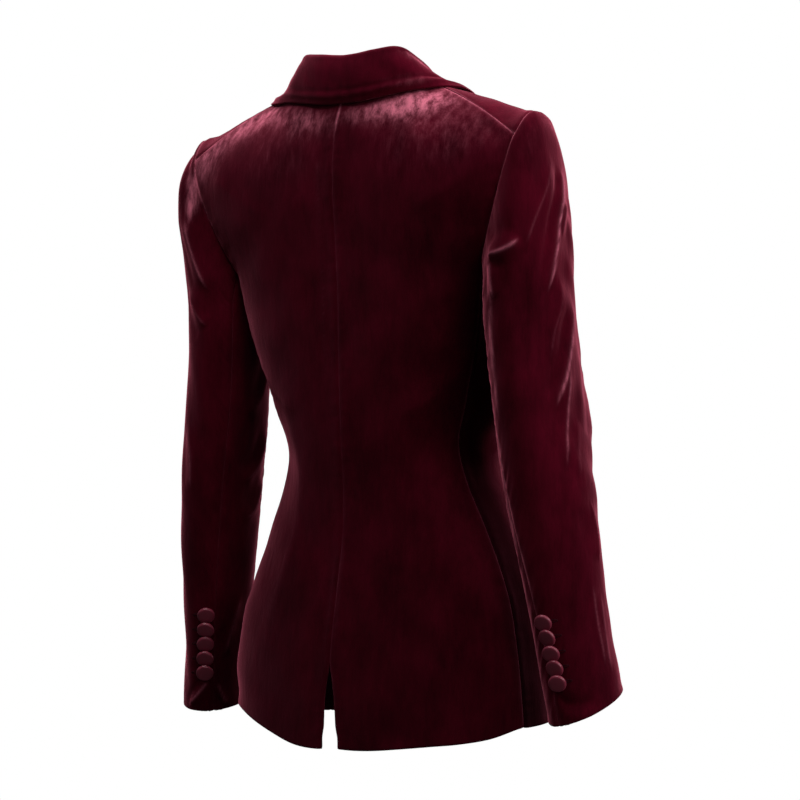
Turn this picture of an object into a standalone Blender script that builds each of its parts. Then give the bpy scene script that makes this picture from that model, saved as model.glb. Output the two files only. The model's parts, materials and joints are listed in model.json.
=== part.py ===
"""Velvet blazer in its worn form: hollow, with two-piece sleeves, a turned collar and covered buttons."""
import math

import bmesh
import bpy
import numpy as np
from mathutils import Matrix, Vector

# Cloth walls, seam gaps and how far pieces that lie on a panel stand off it, in metres
CLOTH = 0.0016
LAPEL_CLOTH = 0.0022
COLLAR_CLOTH = 0.0028
SEAM = 0.0003
LIE = 0.0007
LAPEL_LIE = 0.0017

# Shares: half a seam, spare at corners, narrow columns, widest depth, fullness of a row
HALF_SEAM = 0.55
SPARE = 1.40
EDGE_SHARE = 0.15
WIDEST = 0.46
ARC_PULL = 1.08

# Rows and columns of the cloth grids
LOWER_ROWS = 13
BACK_ARM_ROWS = 5
SHOULDER_ROWS = 4
FRONT_ARM_ROWS = 7
UNDERARM_STEPS = 6
BACK_COLUMNS = 9
FRONT_COLUMNS = 10
FRONT_CORNER_ROWS = 3
LAPEL_ROWS = 11
LAPEL_COLUMNS = 5
COLLAR_HALF_STEPS = 13
CAP_ROWS = 5
ARM_ROWS = 12

# Figure the cloth hangs on: height, half width, back, front, fullness of the oval
BODY = (
    (-0.700, 0.1740, 0.0550, -0.1800, 2.40),
    (-0.655, 0.1735, 0.0550, -0.1780, 2.40),
    (-0.575, 0.1690, 0.0540, -0.1730, 2.40),
    (-0.506, 0.1590, 0.0430, -0.1640, 2.35),
    (-0.442, 0.1350, 0.0330, -0.1550, 2.30),
    (-0.398, 0.1160, 0.0340, -0.1490, 2.25),
    (-0.362, 0.1090, 0.0370, -0.1500, 2.25),
    (-0.318, 0.1270, 0.0390, -0.1600, 2.45),
    (-0.260, 0.1430, 0.0410, -0.1780, 2.60),
    (-0.200, 0.1500, 0.0430, -0.1800, 2.60),
    (-0.150, 0.1550, 0.0470, -0.1600, 2.60),
    (-0.107, 0.1600, 0.0510, -0.1250, 2.60),
    (-0.064, 0.1600, 0.0490, -0.0950, 2.60),
    (-0.037, 0.1600, 0.0420, -0.0800, 2.60),
    (-0.017, 0.1600, 0.0340, -0.0700, 2.60),
)

# Hem: angle from the centre back, rise over the hem level on the left and on the right
HEM_LEVEL = -0.661
HEM = (
    (0.0, 0.0000, 0.0000),
    (14.0, 0.0070, 0.0010),
    (28.0, 0.0180, 0.0030),
    (40.0, 0.0260, 0.0040),
    (52.0, 0.0330, 0.0050),
    (66.0, 0.0380, 0.0090),
    (84.0, 0.0400, 0.0220),
    (112.0, 0.0340, 0.0340),
    (150.0, 0.0220, 0.0220),
    (200.0, 0.0180, 0.0180),
)

# Side seams: height, angle of the back seam, angle of the front seam
SIDE_SEAMS = (
    (-0.700, 84.0, 120.0),
    (-0.560, 83.0, 120.0),
    (-0.440, 78.0, 120.0),
    (-0.362, 74.0, 119.0),
    (-0.290, 69.0, 113.0),
    (-0.240, 66.0, 106.0),
    (-0.170, 66.0, 101.0),
)

# Armhole on the wearer's left: x, y, z of each named point
ARMHOLE = (
    ("back notch", 0.1520, 0.0080, -0.1860),
    ("back", 0.1685, 0.0200, -0.1510),
    ("blade", 0.1850, 0.0260, -0.1120),
    ("shoulder seam", 0.2000, 0.0210, -0.0650),
    ("top", 0.2040, -0.0100, -0.0385),
    ("front top", 0.1960, -0.0450, -0.0610),
    ("front", 0.1770, -0.0700, -0.1220),
    ("front notch", 0.1520, -0.0800, -0.1760),
    ("underarm", 0.1440, -0.0400, -0.2170),
)
NECK_SIDE = (0.0750, -0.0060, -0.0010)
NECK_BACK_HEIGHT = -0.0170
TIP_BACK_HEIGHT = -0.0850
NOTCH_BACK_HEIGHT = -0.1950

# Back yoke rows: row past the notch, heading where the row ends, rise of that end per length
YOKE = (
    (0.0, -45.0, 0.00),
    (1.0, -33.0, 0.01),
    (2.0, -28.0, 0.02),
    (3.0, -22.0, 0.03),
    (5.0, -19.0, 0.06),
    (7.0, -34.0, 0.22),
    (9.0, -66.0, 0.25),
)

# Front edge and roll line on the left: row, x, y, z, heading off the edge
FRONT_EDGE = (
    ("hem corner", 0.0, 0.0720, -0.1700, -0.6440, 8.0),
    ("lower curve", 1.0, 0.0330, -0.1790, -0.6230, 4.0),
    ("upper curve", 2.0, 0.0130, -0.1790, -0.5920, 2.0),
    ("skirt", 4.0, -0.0070, -0.1720, -0.5280, 0.0),
    ("under button", 6.0, -0.0180, -0.1610, -0.4580, 0.0),
    ("break", 8.0, -0.0200, -0.1520, -0.3860, 0.0),
    ("crossing", 9.0, -0.0060, -0.1530, -0.3480, 0.0),
    ("rib", 10.5, 0.0170, -0.1620, -0.2960, 0.0),
    ("bust", 13.0, 0.0400, -0.1740, -0.2200, 2.0),
    ("chest", 15.0, 0.0540, -0.1550, -0.1500, 8.0),
    ("gorge", 17.0, 0.0665, -0.1020, -0.0660, 14.0),
    ("neck front", 18.6, 0.0735, -0.0370, -0.0110, 8.0),
    ("neck side", 20.0, 0.0750, -0.0060, -0.0010, 12.0),
)

# Front rows past the notch: row, heading at the armhole and the shoulder seam
FRONT_ARM = (
    (13.0, 74.0),
    (15.0, 66.0),
    (17.0, 50.0),
    (18.5, 20.0),
    (20.0, 12.0),
)

# Right front over the left: lift, rows where it fades, distances from the middle where it starts and is full
LAP_LIFT = 0.0050
LAP_ROWS = (9.0, 12.5)
LAP_FROM = 0.060
LAP_FULL = 0.030

# Open vent at the centre back: height, half gap
VENT = (
    (-0.700, 0.0110),
    (-0.652, 0.0105),
    (-0.640, 0.0078),
    (-0.615, 0.0066),
    (-0.596, 0.0042),
    (-0.585, 0.0018),
    (-0.577, 0.0002),
    (-0.570, 0.00015),
    (0.100, 0.00015),
)

# Lapel on the front's rows: share of its length, share of the row it covers
LAPEL_FIRST_ROW = 9.4
LAPEL_TOP_ROW_ROLL = 17.7
LAPEL_TOP_ROW_TIP = 16.2
LAPEL = (
    (0.00, 0.03),
    (0.25, 0.19),
    (0.55, 0.37),
    (0.80, 0.49),
    (1.00, 0.55),
)

# Collar: share of half length, roll x, y, z, fall bulge, lift of the fall's edge, back row of that edge
COLLAR = (
    ("centre back", 0.00, 0.0000, 0.0320, 0.0175, 0.0060, 0.0010, 21.25),
    ("back", 0.22, 0.0340, 0.0290, 0.0215, 0.0080, 0.0020, 21.15),
    ("side back", 0.40, 0.0580, 0.0170, 0.0235, 0.0100, 0.0040, 20.90),
    ("neck side", 0.58, 0.0675, -0.0080, 0.0110, 0.0050, 0.0025, 20.95),
    ("front", 0.78, 0.0690, -0.0350, -0.0020, 0.0040, 0.0015, 20.95),
    ("end", 1.00, 0.0685, -0.0630, -0.0250, 0.0040, 0.0005, 20.95),
)
COLLAR_ROLL = 0.0048
COLLAR_SEAM_SHARE = 0.58
COLLAR_FOOT_ROW_END = 18.20
COLLAR_FALL_ROW_END = 16.90
COLLAR_FALL_ACROSS_END = 0.40
COLLAR_FOOT_LIFT = 0.0005

# Sleeve sections down the arm: x, y, z, half width side to side, half width front to back
SLEEVE = (
    ("bicep", 0.1885, -0.0215, -0.2400, 0.0380, 0.0510),
    ("upper", 0.1945, -0.0265, -0.3120, 0.0385, 0.0515),
    ("above elbow", 0.2020, -0.0285, -0.3740, 0.0385, 0.0515),
    ("elbow", 0.2090, -0.0320, -0.4370, 0.0370, 0.0480),
    ("forearm", 0.2165, -0.0385, -0.5000, 0.0335, 0.0440),
    ("above cuff", 0.2240, -0.0465, -0.5650, 0.0310, 0.0400),
    ("cuff", 0.2306, -0.0540, -0.6175, 0.0320, 0.0410),
)

# Sleeve turn and twist in degrees, cuff tilt, and how the cap leaves the armhole and meets the arm
SLEEVE_TURN = 9.0
SLEEVE_TWIST_LEFT = 11.0
SLEEVE_TWIST_RIGHT = 46.0
CUFF_TILT_LEFT = 7.0
CUFF_TILT_RIGHT = 17.0
SLEEVE_TOP = 6
SLEEVE_OUTWARD = (0.68, 0.0, -0.09)
SLEEVE_SWELL = 0.66
SLEEVE_PULL = 0.62
SLEEVE_DROP = 1.1

# Covered buttons: radius, dome, back, pitch up the cuff, first above the hem, set back, lean, seat
BUTTON_RADIUS = 0.0080
BUTTON_DOME = 0.0036
BUTTON_BACK = 0.0010
BUTTON_PITCH = 0.0150
BUTTON_FIRST = 0.0400
BUTTON_SETBACK = 0.0095
BUTTON_LEAN = 13.0
BUTTON_SEAT = 0.0007
CUFF_BUTTONS = 5
FRONT_BUTTON_RADIUS = 0.0105
FRONT_BUTTON_ROW = 7.7
FRONT_BUTTON_SEAT = 0.0020

VELVET = (0.075, 0.006, 0.014, 1.0)
SATIN = (0.110, 0.020, 0.035, 1.0)
LEFT, RIGHT = 1, -1


def smooth(knots, values, at):
    """Cubic through the rows of a table, with slopes from the neighbouring rows."""
    knots = np.asarray(knots, float)
    values = np.asarray(values, float)
    flat = values.reshape(len(knots), -1)
    step = np.diff(knots)[:, None]
    rise = np.diff(flat, axis=0) / step
    slope = np.empty_like(flat)
    slope[0] = rise[0]
    slope[-1] = rise[-1]
    slope[1:-1] = (rise[:-1] * step[1:] + rise[1:] * step[:-1]) / (step[1:] + step[:-1])
    at = np.clip(np.asarray(at, float), knots[0], knots[-1])
    k = np.clip(np.searchsorted(knots, at, side="right") - 1, 0, len(knots) - 2)
    h = (knots[k + 1] - knots[k])[..., None]
    u = ((at - knots[k])[..., None]) / h
    out = (1 + 2 * u) * (1 - u) ** 2 * flat[k] + u * (1 - u) ** 2 * h * slope[k]
    out = out + u * u * (3 - 2 * u) * flat[k + 1] + u * u * (u - 1) * h * slope[k + 1]
    return out.reshape(at.shape + values.shape[1:])


def column(table, index):
    """One column of a table as an array."""
    return np.array([row[index] for row in table], float)


def hermite(p0, m0, p1, m1, s):
    """Curve from p0 to p1 that leaves along m0 and arrives along m1."""
    s = s[..., None]
    first = (1 + 2 * s) * (1 - s) ** 2 * p0 + s * (1 - s) ** 2 * m0
    return first + s * s * (3 - 2 * s) * p1 + s * s * (s - 1) * m1


def ease(x):
    """Soft step from 0 to 1."""
    x = np.clip(x, 0.0, 1.0)
    return x * x * (3 - 2 * x)


def vec(x, y, z):
    """Stack of points from three arrays of one shape."""
    return np.stack(np.broadcast_arrays(x, y, z), axis=-1).astype(float)


def figure(angle, height):
    """Point of the figure: angle in degrees from the centre back round the side to the centre front."""
    table = np.array(BODY, float)
    half, back, front, full = np.moveaxis(smooth(table[:, 0], table[:, 1:], height), -1, 0)
    middle = back - WIDEST * (back - front)
    turn = np.radians(angle)
    sine, cosine = np.sin(turn), np.cos(turn)
    depth = np.where(cosine > 0, back - middle, middle - front)
    radius = (np.abs(sine / half) ** full + np.abs(cosine / depth) ** full) ** (-1 / full)
    return vec(radius * sine, middle + radius * cosine, height)


def figure_heading(angle, height):
    """Direction in plan, in degrees, in which the figure runs on from an angle."""
    step = figure(angle + 0.5, height) - figure(angle - 0.5, height)
    return np.degrees(np.arctan2(step[..., 1], step[..., 0]))


def run(heading, length, rise):
    """Row direction from a plan heading, a length and a rise per length."""
    turn = np.radians(heading)
    return vec(length * np.cos(turn), length * np.sin(turn), length * rise)


def armhole_points():
    """Closed armhole, sampled so that its panels and the sleeve share every point."""
    names = [row[0] for row in ARMHOLE]
    points = np.array([row[1:] for row in ARMHOLE], float)
    closed = np.vstack([points[-3:], points, points[:3]])
    knots = np.concatenate([[0.0], np.cumsum(np.linalg.norm(np.diff(closed, axis=0), axis=1) ** 0.75)])
    marks = {name: knots[3 + i] for i, name in enumerate(names)}
    end = knots[3 + len(names)]
    spans = (
        (marks["back notch"], marks["shoulder seam"], BACK_ARM_ROWS),
        (marks["shoulder seam"], marks["front notch"], FRONT_ARM_ROWS),
        (marks["front notch"], end, UNDERARM_STEPS),
    )
    parts = []
    for first, last, steps in spans:
        fine = np.linspace(first, last, 200)
        line = smooth(knots, closed, fine)
        length = np.concatenate([[0.0], np.cumsum(np.linalg.norm(np.diff(line, axis=0), axis=1))])
        at = np.interp(np.linspace(0, length[-1], steps + 1), length, fine)
        parts.append(smooth(knots, closed, at)[:-1])
    return np.vstack(parts)


RING = armhole_points()
TIP = RING[BACK_ARM_ROWS]
FRONT_NOTCH = RING[BACK_ARM_ROWS + FRONT_ARM_ROWS]
BACK_NOTCH = RING[0]
BACK_ROWS = LOWER_ROWS + BACK_ARM_ROWS + SHOULDER_ROWS
FRONT_ROWS = LOWER_ROWS + FRONT_ARM_ROWS


def ring_point(index):
    """Armhole point at a place between its shared points."""
    count = len(RING)
    turns = np.arange(-3, count + 4)
    return smooth(turns, RING[turns % count], index)


def hem_height(angle, side):
    """Height of the hem at an angle, on the left or the right."""
    rise = column(HEM, 1 if side == LEFT else 2)
    return HEM_LEVEL + smooth(column(HEM, 0), rise, angle)


def side_seam(row, which, side):
    """Point and heading of the back (1) or front (2) side seam at a row, from the hem to the notch."""
    notch = BACK_NOTCH if which == 1 else FRONT_NOTCH
    share = np.clip(row / LOWER_ROWS, 0.0, 1.0)
    hem_angle = SIDE_SEAMS[0][which]
    low = hem_height(np.asarray(hem_angle), side)
    height = low + (notch[2] - low) * share
    angle = smooth(column(SIDE_SEAMS, 0), column(SIDE_SEAMS, which), height)
    point = figure(angle, height)
    top_angle = smooth(column(SIDE_SEAMS, 0), column(SIDE_SEAMS, which), notch[2])
    miss = notch - figure(top_angle, notch[2])
    point = point + miss * ease((share - 0.7) / 0.3)[..., None]
    return point, figure_heading(angle, height)


def back_panel(row, across, side):
    """Back cloth: rows fan from the centre back to the side seam, the armhole and the shoulder seam."""
    knots = (0.0, LOWER_ROWS, LOWER_ROWS + BACK_ARM_ROWS, BACK_ROWS)
    heights = (HEM_LEVEL, NOTCH_BACK_HEIGHT, TIP_BACK_HEIGHT, NECK_BACK_HEIGHT)
    height = np.interp(row, knots, heights)
    gap = np.interp(height, column(VENT, 0), column(VENT, 1))
    table = np.array(BODY, float)
    start = vec(gap, smooth(table[:, 0], table[:, 2], height), height)
    seam, seam_heading = side_seam(row, 1, side)
    arm = smooth(np.arange(BACK_ARM_ROWS + 1.0), RING[:BACK_ARM_ROWS + 1], row - LOWER_ROWS)
    share = np.clip((row - knots[2]) / SHOULDER_ROWS, 0.0, 1.0)[..., None]
    shoulder = TIP + (np.array(NECK_SIDE) - TIP) * share
    row3 = row[..., None]
    end = np.where(row3 < knots[1], seam, np.where(row3 < knots[2], arm, shoulder))
    yoke_row = row - LOWER_ROWS
    heading = np.where(row < knots[1], seam_heading, smooth(column(YOKE, 0), column(YOKE, 1), yoke_row))
    join = ease((row - LOWER_ROWS + 4.0) / 4.0)
    heading = np.where(row < knots[1], heading + (YOKE[0][1] - figure_notch_heading(side)) * join, heading)
    rise = np.where(row < knots[1], 0.0, smooth(column(YOKE, 0), column(YOKE, 2), yoke_row))
    length = ARC_PULL * np.linalg.norm(end - start, axis=-1)
    cloth = hermite(start, run(0.0 * row, length, 0.0), end, run(heading, length, rise), across)
    corner = hem_height(np.asarray(SIDE_SEAMS[0][1]), side)
    bow = hem_height(SIDE_SEAMS[0][1] * across, side) - HEM_LEVEL - (corner - HEM_LEVEL) * across
    cloth[..., 2] += bow * np.clip(1 - row / LOWER_ROWS, 0, 1) ** 2
    return cloth


def figure_notch_heading(side):
    """Heading of the back side seam where it reaches the armhole."""
    return side_seam(np.asarray(float(LOWER_ROWS)), 1, side)[1]


def side_panel(row, across, side):
    """Side cloth between the two side seams, its top edge drawn down to the underarm."""
    start, first = side_seam(row, 1, side)
    end, last = side_seam(row, 2, side)
    length = ARC_PULL * np.linalg.norm(end - start, axis=-1)
    cloth = hermite(start, run(first, length, 0.0), end, run(last, length, 0.0), across)
    top = np.full_like(across, float(LOWER_ROWS))
    high_start, high_first = side_seam(top, 1, side)
    high_end, high_last = side_seam(top, 2, side)
    high_length = ARC_PULL * np.linalg.norm(high_end - high_start, axis=-1)
    leave, arrive = run(high_first, high_length, 0.0), run(high_last, high_length, 0.0)
    high = hermite(high_start, leave, high_end, arrive, across)
    edge = ring_point(len(RING) - UNDERARM_STEPS * across)
    return cloth + (edge - high) * ease((row / LOWER_ROWS - 0.45) / 0.55)[..., None]


def front_panel(row, across, side):
    """Front cloth: rows run from the front edge and roll line to the side seam, armhole and shoulder."""
    rows = column(FRONT_EDGE, 1)
    start = smooth(rows, np.stack([column(FRONT_EDGE, i) for i in (2, 3, 4)], axis=-1), row)
    first = smooth(rows, column(FRONT_EDGE, 5), row)
    seam, seam_heading = side_seam(row, 2, side)
    hole = RING[BACK_ARM_ROWS:BACK_ARM_ROWS + FRONT_ARM_ROWS + 1][::-1]
    arm = smooth(np.arange(FRONT_ARM_ROWS + 1.0), hole, row - LOWER_ROWS)
    end = np.where(row[..., None] < LOWER_ROWS, seam, arm)
    join = ease((row - LOWER_ROWS + 4.0) / 4.0)
    notch = side_seam(np.asarray(float(LOWER_ROWS)), 2, side)[1] + 180.0
    lower = seam_heading + 180.0 + (FRONT_ARM[0][1] - notch) * join
    heading = np.where(row < LOWER_ROWS, lower, smooth(column(FRONT_ARM, 0), column(FRONT_ARM, 1), row))
    length = ARC_PULL * np.linalg.norm(end - start, axis=-1)
    slope = (end - start)[..., 2] / np.maximum(length, 0.001)
    flat = ease((row - LOWER_ROWS - 2.0) / 4.0)
    cloth = hermite(start, run(first, length, slope * flat), end, run(heading, length, slope * flat), across)
    if side == RIGHT:
        fade = 1.0 - ease((row - LAP_ROWS[0]) / (LAP_ROWS[1] - LAP_ROWS[0]))
        cloth[..., 1] -= LAP_LIFT * fade * ease((LAP_FROM - cloth[..., 0]) / (LAP_FROM - LAP_FULL))
    return cloth


def normals(panel, row, across, side):
    """Outward unit normals of a panel, from its own small differences."""
    step = 0.02
    along = panel(row + step, across, side) - panel(row - step, across, side)
    over = panel(row, across + step, side) - panel(row, across - step, side)
    normal = np.cross(over, along) if panel is front_panel else np.cross(along, over)
    return normal / np.linalg.norm(normal, axis=-1, keepdims=True)


def grid(rows, columns):
    """Two arrays that hold every pair of a row and a column value."""
    return np.meshgrid(np.asarray(rows, float), np.asarray(columns, float), indexing="ij")


def drawn_back(edge, own, other, wall=CLOTH):
    """Edge of a panel drawn back from its neighbour, further where the two walls meet at a corner."""
    along = np.gradient(edge, axis=0)
    mine = np.cross(along, own - edge)
    theirs = np.cross(along, edge - other)
    cosine = (mine * theirs).sum(axis=-1) / np.linalg.norm(mine, axis=-1) / np.linalg.norm(theirs, axis=-1)
    corner = np.arccos(np.clip(cosine, -1.0, 1.0))
    away = (own - edge) / np.linalg.norm(own - edge, axis=-1, keepdims=True)
    return edge + away * (SEAM * HALF_SEAM + SPARE * wall * np.tan(0.5 * corner))[..., None]


def material(name, colour, roughness, sheen):
    """Principled material of one piece."""
    made = bpy.data.materials.new(name)
    made.use_nodes = True
    shader = made.node_tree.nodes["Principled BSDF"]
    shader.inputs["Base Color"].default_value = colour
    shader.inputs["Roughness"].default_value = roughness
    shader.inputs["Sheen Weight"].default_value = sheen
    made.diffuse_color = colour
    return made


def place(name, mesh, colour, roughness, sheen):
    """Object of one piece in the blazer's collection."""
    piece = bpy.data.objects.new(name, mesh)
    mesh.materials.append(material(name + "_cloth", colour, roughness, sheen))
    bpy.data.collections["velvet_blazer"].objects.link(piece)
    return piece


def cloth_wall(name, points, side, wall):
    """Open grid of points made into a closed wall that grows inwards from its outer face."""
    points = points.copy()
    points[..., 0] *= side
    rows, columns = points.shape[:2]
    index = np.arange(rows * columns).reshape(rows, columns)
    corners = [index[:-1, :-1], index[:-1, 1:], index[1:, 1:], index[1:, :-1]]
    faces = np.stack(corners, axis=-1).reshape(-1, 4)
    if side == RIGHT:
        faces = faces[:, ::-1]
    mesh = bpy.data.meshes.new(name)
    mesh.from_pydata(points.reshape(-1, 3).tolist(), [], faces.tolist())
    mesh.update()
    piece = place(name, mesh, VELVET, 0.8, 0.6)
    solid = piece.modifiers.new("wall", "SOLIDIFY")
    solid.thickness = wall
    solid.offset = -1.0
    return piece


def edged(values, first, last):
    """Columns with a narrow one beside each seam, so that walls meet squarely there."""
    values = list(values)
    if first:
        values.insert(1, values[0] + EDGE_SHARE * (values[1] - values[0]))
    if last:
        values.insert(-1, values[-1] - EDGE_SHARE * (values[-1] - values[-2]))
    return np.array(values, float)


def back_pieces(side, word):
    """Back panel of one side."""
    row, across = grid(np.arange(BACK_ROWS + 1), edged(np.linspace(0, 1, BACK_COLUMNS + 1), False, True))
    points = back_panel(row, across, side)
    rows, own, edge = row[:, 0], points[:, -2], points[:, -1]
    tip_row = BACK_ROWS - SHOULDER_ROWS
    share = np.clip((BACK_ROWS - rows) / SHOULDER_ROWS, 0, 1)
    beside = side_panel(np.minimum(rows, LOWER_ROWS), np.full_like(rows, EDGE_SHARE / UNDERARM_STEPS), side)
    over = front_panel(np.full_like(rows, FRONT_ROWS - EDGE_SHARE), share, side)
    other = np.where(rows[:, None] < tip_row, 2 * edge - own, over)
    other = np.where(rows[:, None] <= LOWER_ROWS, beside, other)
    points[:, -1] = drawn_back(edge, own, other)
    cloth_wall("back_" + word, points[:, ::-1], side, CLOTH)


def side_pieces(side, word):
    """Side panel of one side."""
    row, across = grid(np.arange(LOWER_ROWS + 1), edged(np.linspace(0, 1, UNDERARM_STEPS + 1), True, True))
    points = side_panel(row, across, side)
    rows = row[:, 0]
    behind = back_panel(rows, np.full_like(rows, 1 - EDGE_SHARE / BACK_COLUMNS), side)
    ahead = front_panel(rows, np.full_like(rows, 1 - EDGE_SHARE / FRONT_COLUMNS), side)
    points[:, 0] = drawn_back(points[:, 0], points[:, 1], behind)
    points[:, -1] = drawn_back(points[:, -1], points[:, -2], ahead)
    cloth_wall("side_" + word, points[:, ::-1], side, CLOTH)


def front_pieces(side, word):
    """Front panel of one side."""
    corner = np.arange(0, FRONT_CORNER_ROWS, 0.5)
    rows = edged(np.concatenate([corner, np.arange(FRONT_CORNER_ROWS, FRONT_ROWS + 1)]), False, True)
    row, across = grid(rows, edged(np.linspace(0, 1, FRONT_COLUMNS + 1), False, True))
    points = front_panel(row, across, side)
    own, edge = points[:, -2], points[:, -1]
    inner = np.full_like(rows, 1 - EDGE_SHARE / UNDERARM_STEPS)
    beside = side_panel(np.minimum(rows, LOWER_ROWS), inner, side)
    other = np.where(rows[:, None] <= LOWER_ROWS, beside, 2 * edge - own)
    points[:, -1] = drawn_back(edge, own, other)
    share = across[-1]
    inner = np.full_like(share, 1 - EDGE_SHARE / BACK_COLUMNS)
    behind = back_panel(BACK_ROWS - SHOULDER_ROWS * share, inner, side)
    points[-1] = drawn_back(points[-1], points[-2], behind)
    cloth_wall("front_" + word, points, side, CLOTH)


def lapel_place(length, width):
    """Row and share of the row on the front panel for a place on the lapel."""
    top = LAPEL_TOP_ROW_ROLL + (LAPEL_TOP_ROW_TIP - LAPEL_TOP_ROW_ROLL) * width
    row = LAPEL_FIRST_ROW + (top - LAPEL_FIRST_ROW) * length
    return row, width * smooth(column(LAPEL, 0), column(LAPEL, 1), length)


def lapel_pieces(side, word):
    """Lapel turned back on the front: the front's own points, moved out."""
    length, width = grid(np.linspace(0, 1, LAPEL_ROWS + 1), np.linspace(0, 1, LAPEL_COLUMNS + 1))
    row, across = lapel_place(length, width)
    out = normals(front_panel, row, across, side)
    points = front_panel(row, across, side) + out * (LAPEL_LIE + LAPEL_CLOTH)
    cloth_wall("lapel_" + word, points, side, LAPEL_CLOTH)


def collar_surface():
    """Half collar from the centre back to its front end: foot, stand, roll and fall at each station."""
    shares = column(COLLAR, 1)
    along = np.linspace(0, 1, COLLAR_HALF_STEPS + 1)
    roll = smooth(shares, np.stack([column(COLLAR, i) for i in (2, 3, 4)], axis=-1), along)
    bulge = smooth(shares, column(COLLAR, 5), along)[:, None]
    lift = LIE + COLLAR_CLOTH + smooth(shares, column(COLLAR, 6), along)[:, None]
    back_row = smooth(shares, column(COLLAR, 7), along)
    on_back = np.clip(along / COLLAR_SEAM_SHARE, 0, 1)
    seam_row = np.asarray(COLLAR[3][7])
    seam_across = (BACK_ROWS - seam_row) / SHOULDER_ROWS
    ahead = np.clip((along - COLLAR_SEAM_SHARE) / (1 - COLLAR_SEAM_SHARE), 0, 1)
    foot_row = FRONT_ROWS + (COLLAR_FOOT_ROW_END - FRONT_ROWS) * ahead
    edge_row = FRONT_ROWS + (COLLAR_FALL_ROW_END - FRONT_ROWS) * ahead
    edge_across = seam_across + (COLLAR_FALL_ACROSS_END - seam_across) * ahead
    behind = (along < COLLAR_SEAM_SHARE)[:, None]

    def laid(row, across, height):
        return front_panel(row, across, LEFT) + height * normals(front_panel, row, across, LEFT)

    back_edge = back_panel(back_row, on_back, LEFT) + lift * normals(back_panel, back_row, on_back, LEFT)
    edge = np.where(behind, back_edge, laid(edge_row, edge_across, lift))
    foot_back = back_panel(np.full_like(along, BACK_ROWS), on_back, LEFT)
    foot = np.where(behind, foot_back, laid(foot_row, np.zeros_like(along), 0.0))
    up = np.array((0.0, 0.0, 1.0))
    foot = foot + COLLAR_FOOT_LIFT * up
    out = edge - roll
    out[:, 2] = 0.0
    out = out / np.linalg.norm(out, axis=1, keepdims=True)
    inner = roll - out * COLLAR_ROLL
    outer = roll + out * COLLAR_ROLL
    rows = [foot + (inner - foot) * share for share in (0.0, 0.35, 0.7)]
    for turn in np.radians((0.0, 45.0, 90.0, 135.0)):
        rows.append(roll + COLLAR_ROLL * (-math.cos(turn) * out + math.sin(turn) * up))
    knee = 0.5 * (outer + edge) + out * bulge
    middle = laid(0.5 * (foot_row + edge_row), 0.5 * edge_across, lift + bulge)
    over = 2.0 * middle - 0.5 * (outer + edge)
    knee = knee + (over - knee) * ease((along - COLLAR_SEAM_SHARE + 0.04) / 0.2)[:, None]
    for share in (0.0, 0.2, 0.4, 0.6, 0.8, 1.0):
        rows.append((1 - share) ** 2 * outer + 2 * share * (1 - share) * knee + share ** 2 * edge)
    return np.stack(rows, axis=0)


def collar_piece():
    """Whole collar, mirrored about the centre back."""
    half = collar_surface()
    other = half[:, :0:-1].copy()
    other[..., 0] *= -1
    points = np.concatenate([other, half], axis=1)
    cloth_wall("collar", points, LEFT, COLLAR_CLOTH)


def ring_angle(index):
    """Angle round the sleeve, from the outside through the back, of each armhole point."""
    count = len(RING)
    going = np.concatenate([[0.0], np.cumsum(np.linalg.norm(np.roll(RING, -1, axis=0) - RING, axis=1))])
    top, low = going[SLEEVE_TOP], going[count - UNDERARM_STEPS // 2]
    total = going[-1]
    ahead = -180.0 * (going - top) / (low - top)
    behind = 180.0 * (top - going) / (total - low + top)
    past = -180.0 - 180.0 * (going - low) / (total - low + top)
    angle = np.where(going < top, behind, np.where(going <= low, ahead, past))
    return np.interp(index, np.arange(count + 1.0), angle)


def arm(share, index, side):
    """Sleeve below the cap: ovals down a bent arm, at a share of its length and a place round it."""
    table = np.array([row[1:] for row in SLEEVE], float)
    knots = np.concatenate([[0.0], np.cumsum(np.linalg.norm(np.diff(table[:, :3], axis=0), axis=1))])
    at = share * knots[-1]
    section = smooth(knots, table, at)
    axis = smooth(knots, table[:, :3], at + 0.002) - smooth(knots, table[:, :3], at - 0.002)
    tilt = CUFF_TILT_LEFT if side == LEFT else CUFF_TILT_RIGHT
    lean = np.radians(tilt) * ease((share - 0.55) / 0.45)
    twist = SLEEVE_TWIST_LEFT if side == LEFT else SLEEVE_TWIST_RIGHT
    turn = np.radians(ring_angle(index) - twist * ease(share))
    wide = section[..., 3] * np.cos(turn)
    deep = section[..., 4] * np.sin(turn)
    out_turn = math.radians(SLEEVE_TURN)
    across = wide * math.cos(out_turn) - deep * math.sin(out_turn)
    fore = wide * math.sin(out_turn) + deep * math.cos(out_turn)
    level = -(axis[..., 0] * across + axis[..., 1] * fore) / axis[..., 2] - fore * np.tan(lean)
    return section[..., :3] + vec(across, fore, level)


def sleeve(row, index, side):
    """Sleeve from the armhole, out and over its cap, and down the arm to the cuff."""
    start = ring_point(index) + np.array((SEAM, 0.0, 0.0))
    rise = start - RING.mean(axis=0)
    radial = rise / np.linalg.norm(rise, axis=-1, keepdims=True)
    bicep = arm(np.zeros_like(row), index, side)
    below = arm(np.full_like(row, 0.02), index, side) - bicep
    reach = np.linalg.norm(bicep - start, axis=-1, keepdims=True)
    leave = (np.array(SLEEVE_OUTWARD) + SLEEVE_SWELL * radial) * reach * SLEEVE_PULL
    arrive = below / np.linalg.norm(below, axis=-1, keepdims=True) * reach * SLEEVE_DROP
    cap = hermite(start, leave, bicep, arrive, np.clip(row / CAP_ROWS, 0, 1))
    tube = arm(np.clip((row - CAP_ROWS) / ARM_ROWS, 0, 1), index, side)
    return np.where(row[..., None] < CAP_ROWS, cap, tube)


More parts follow.
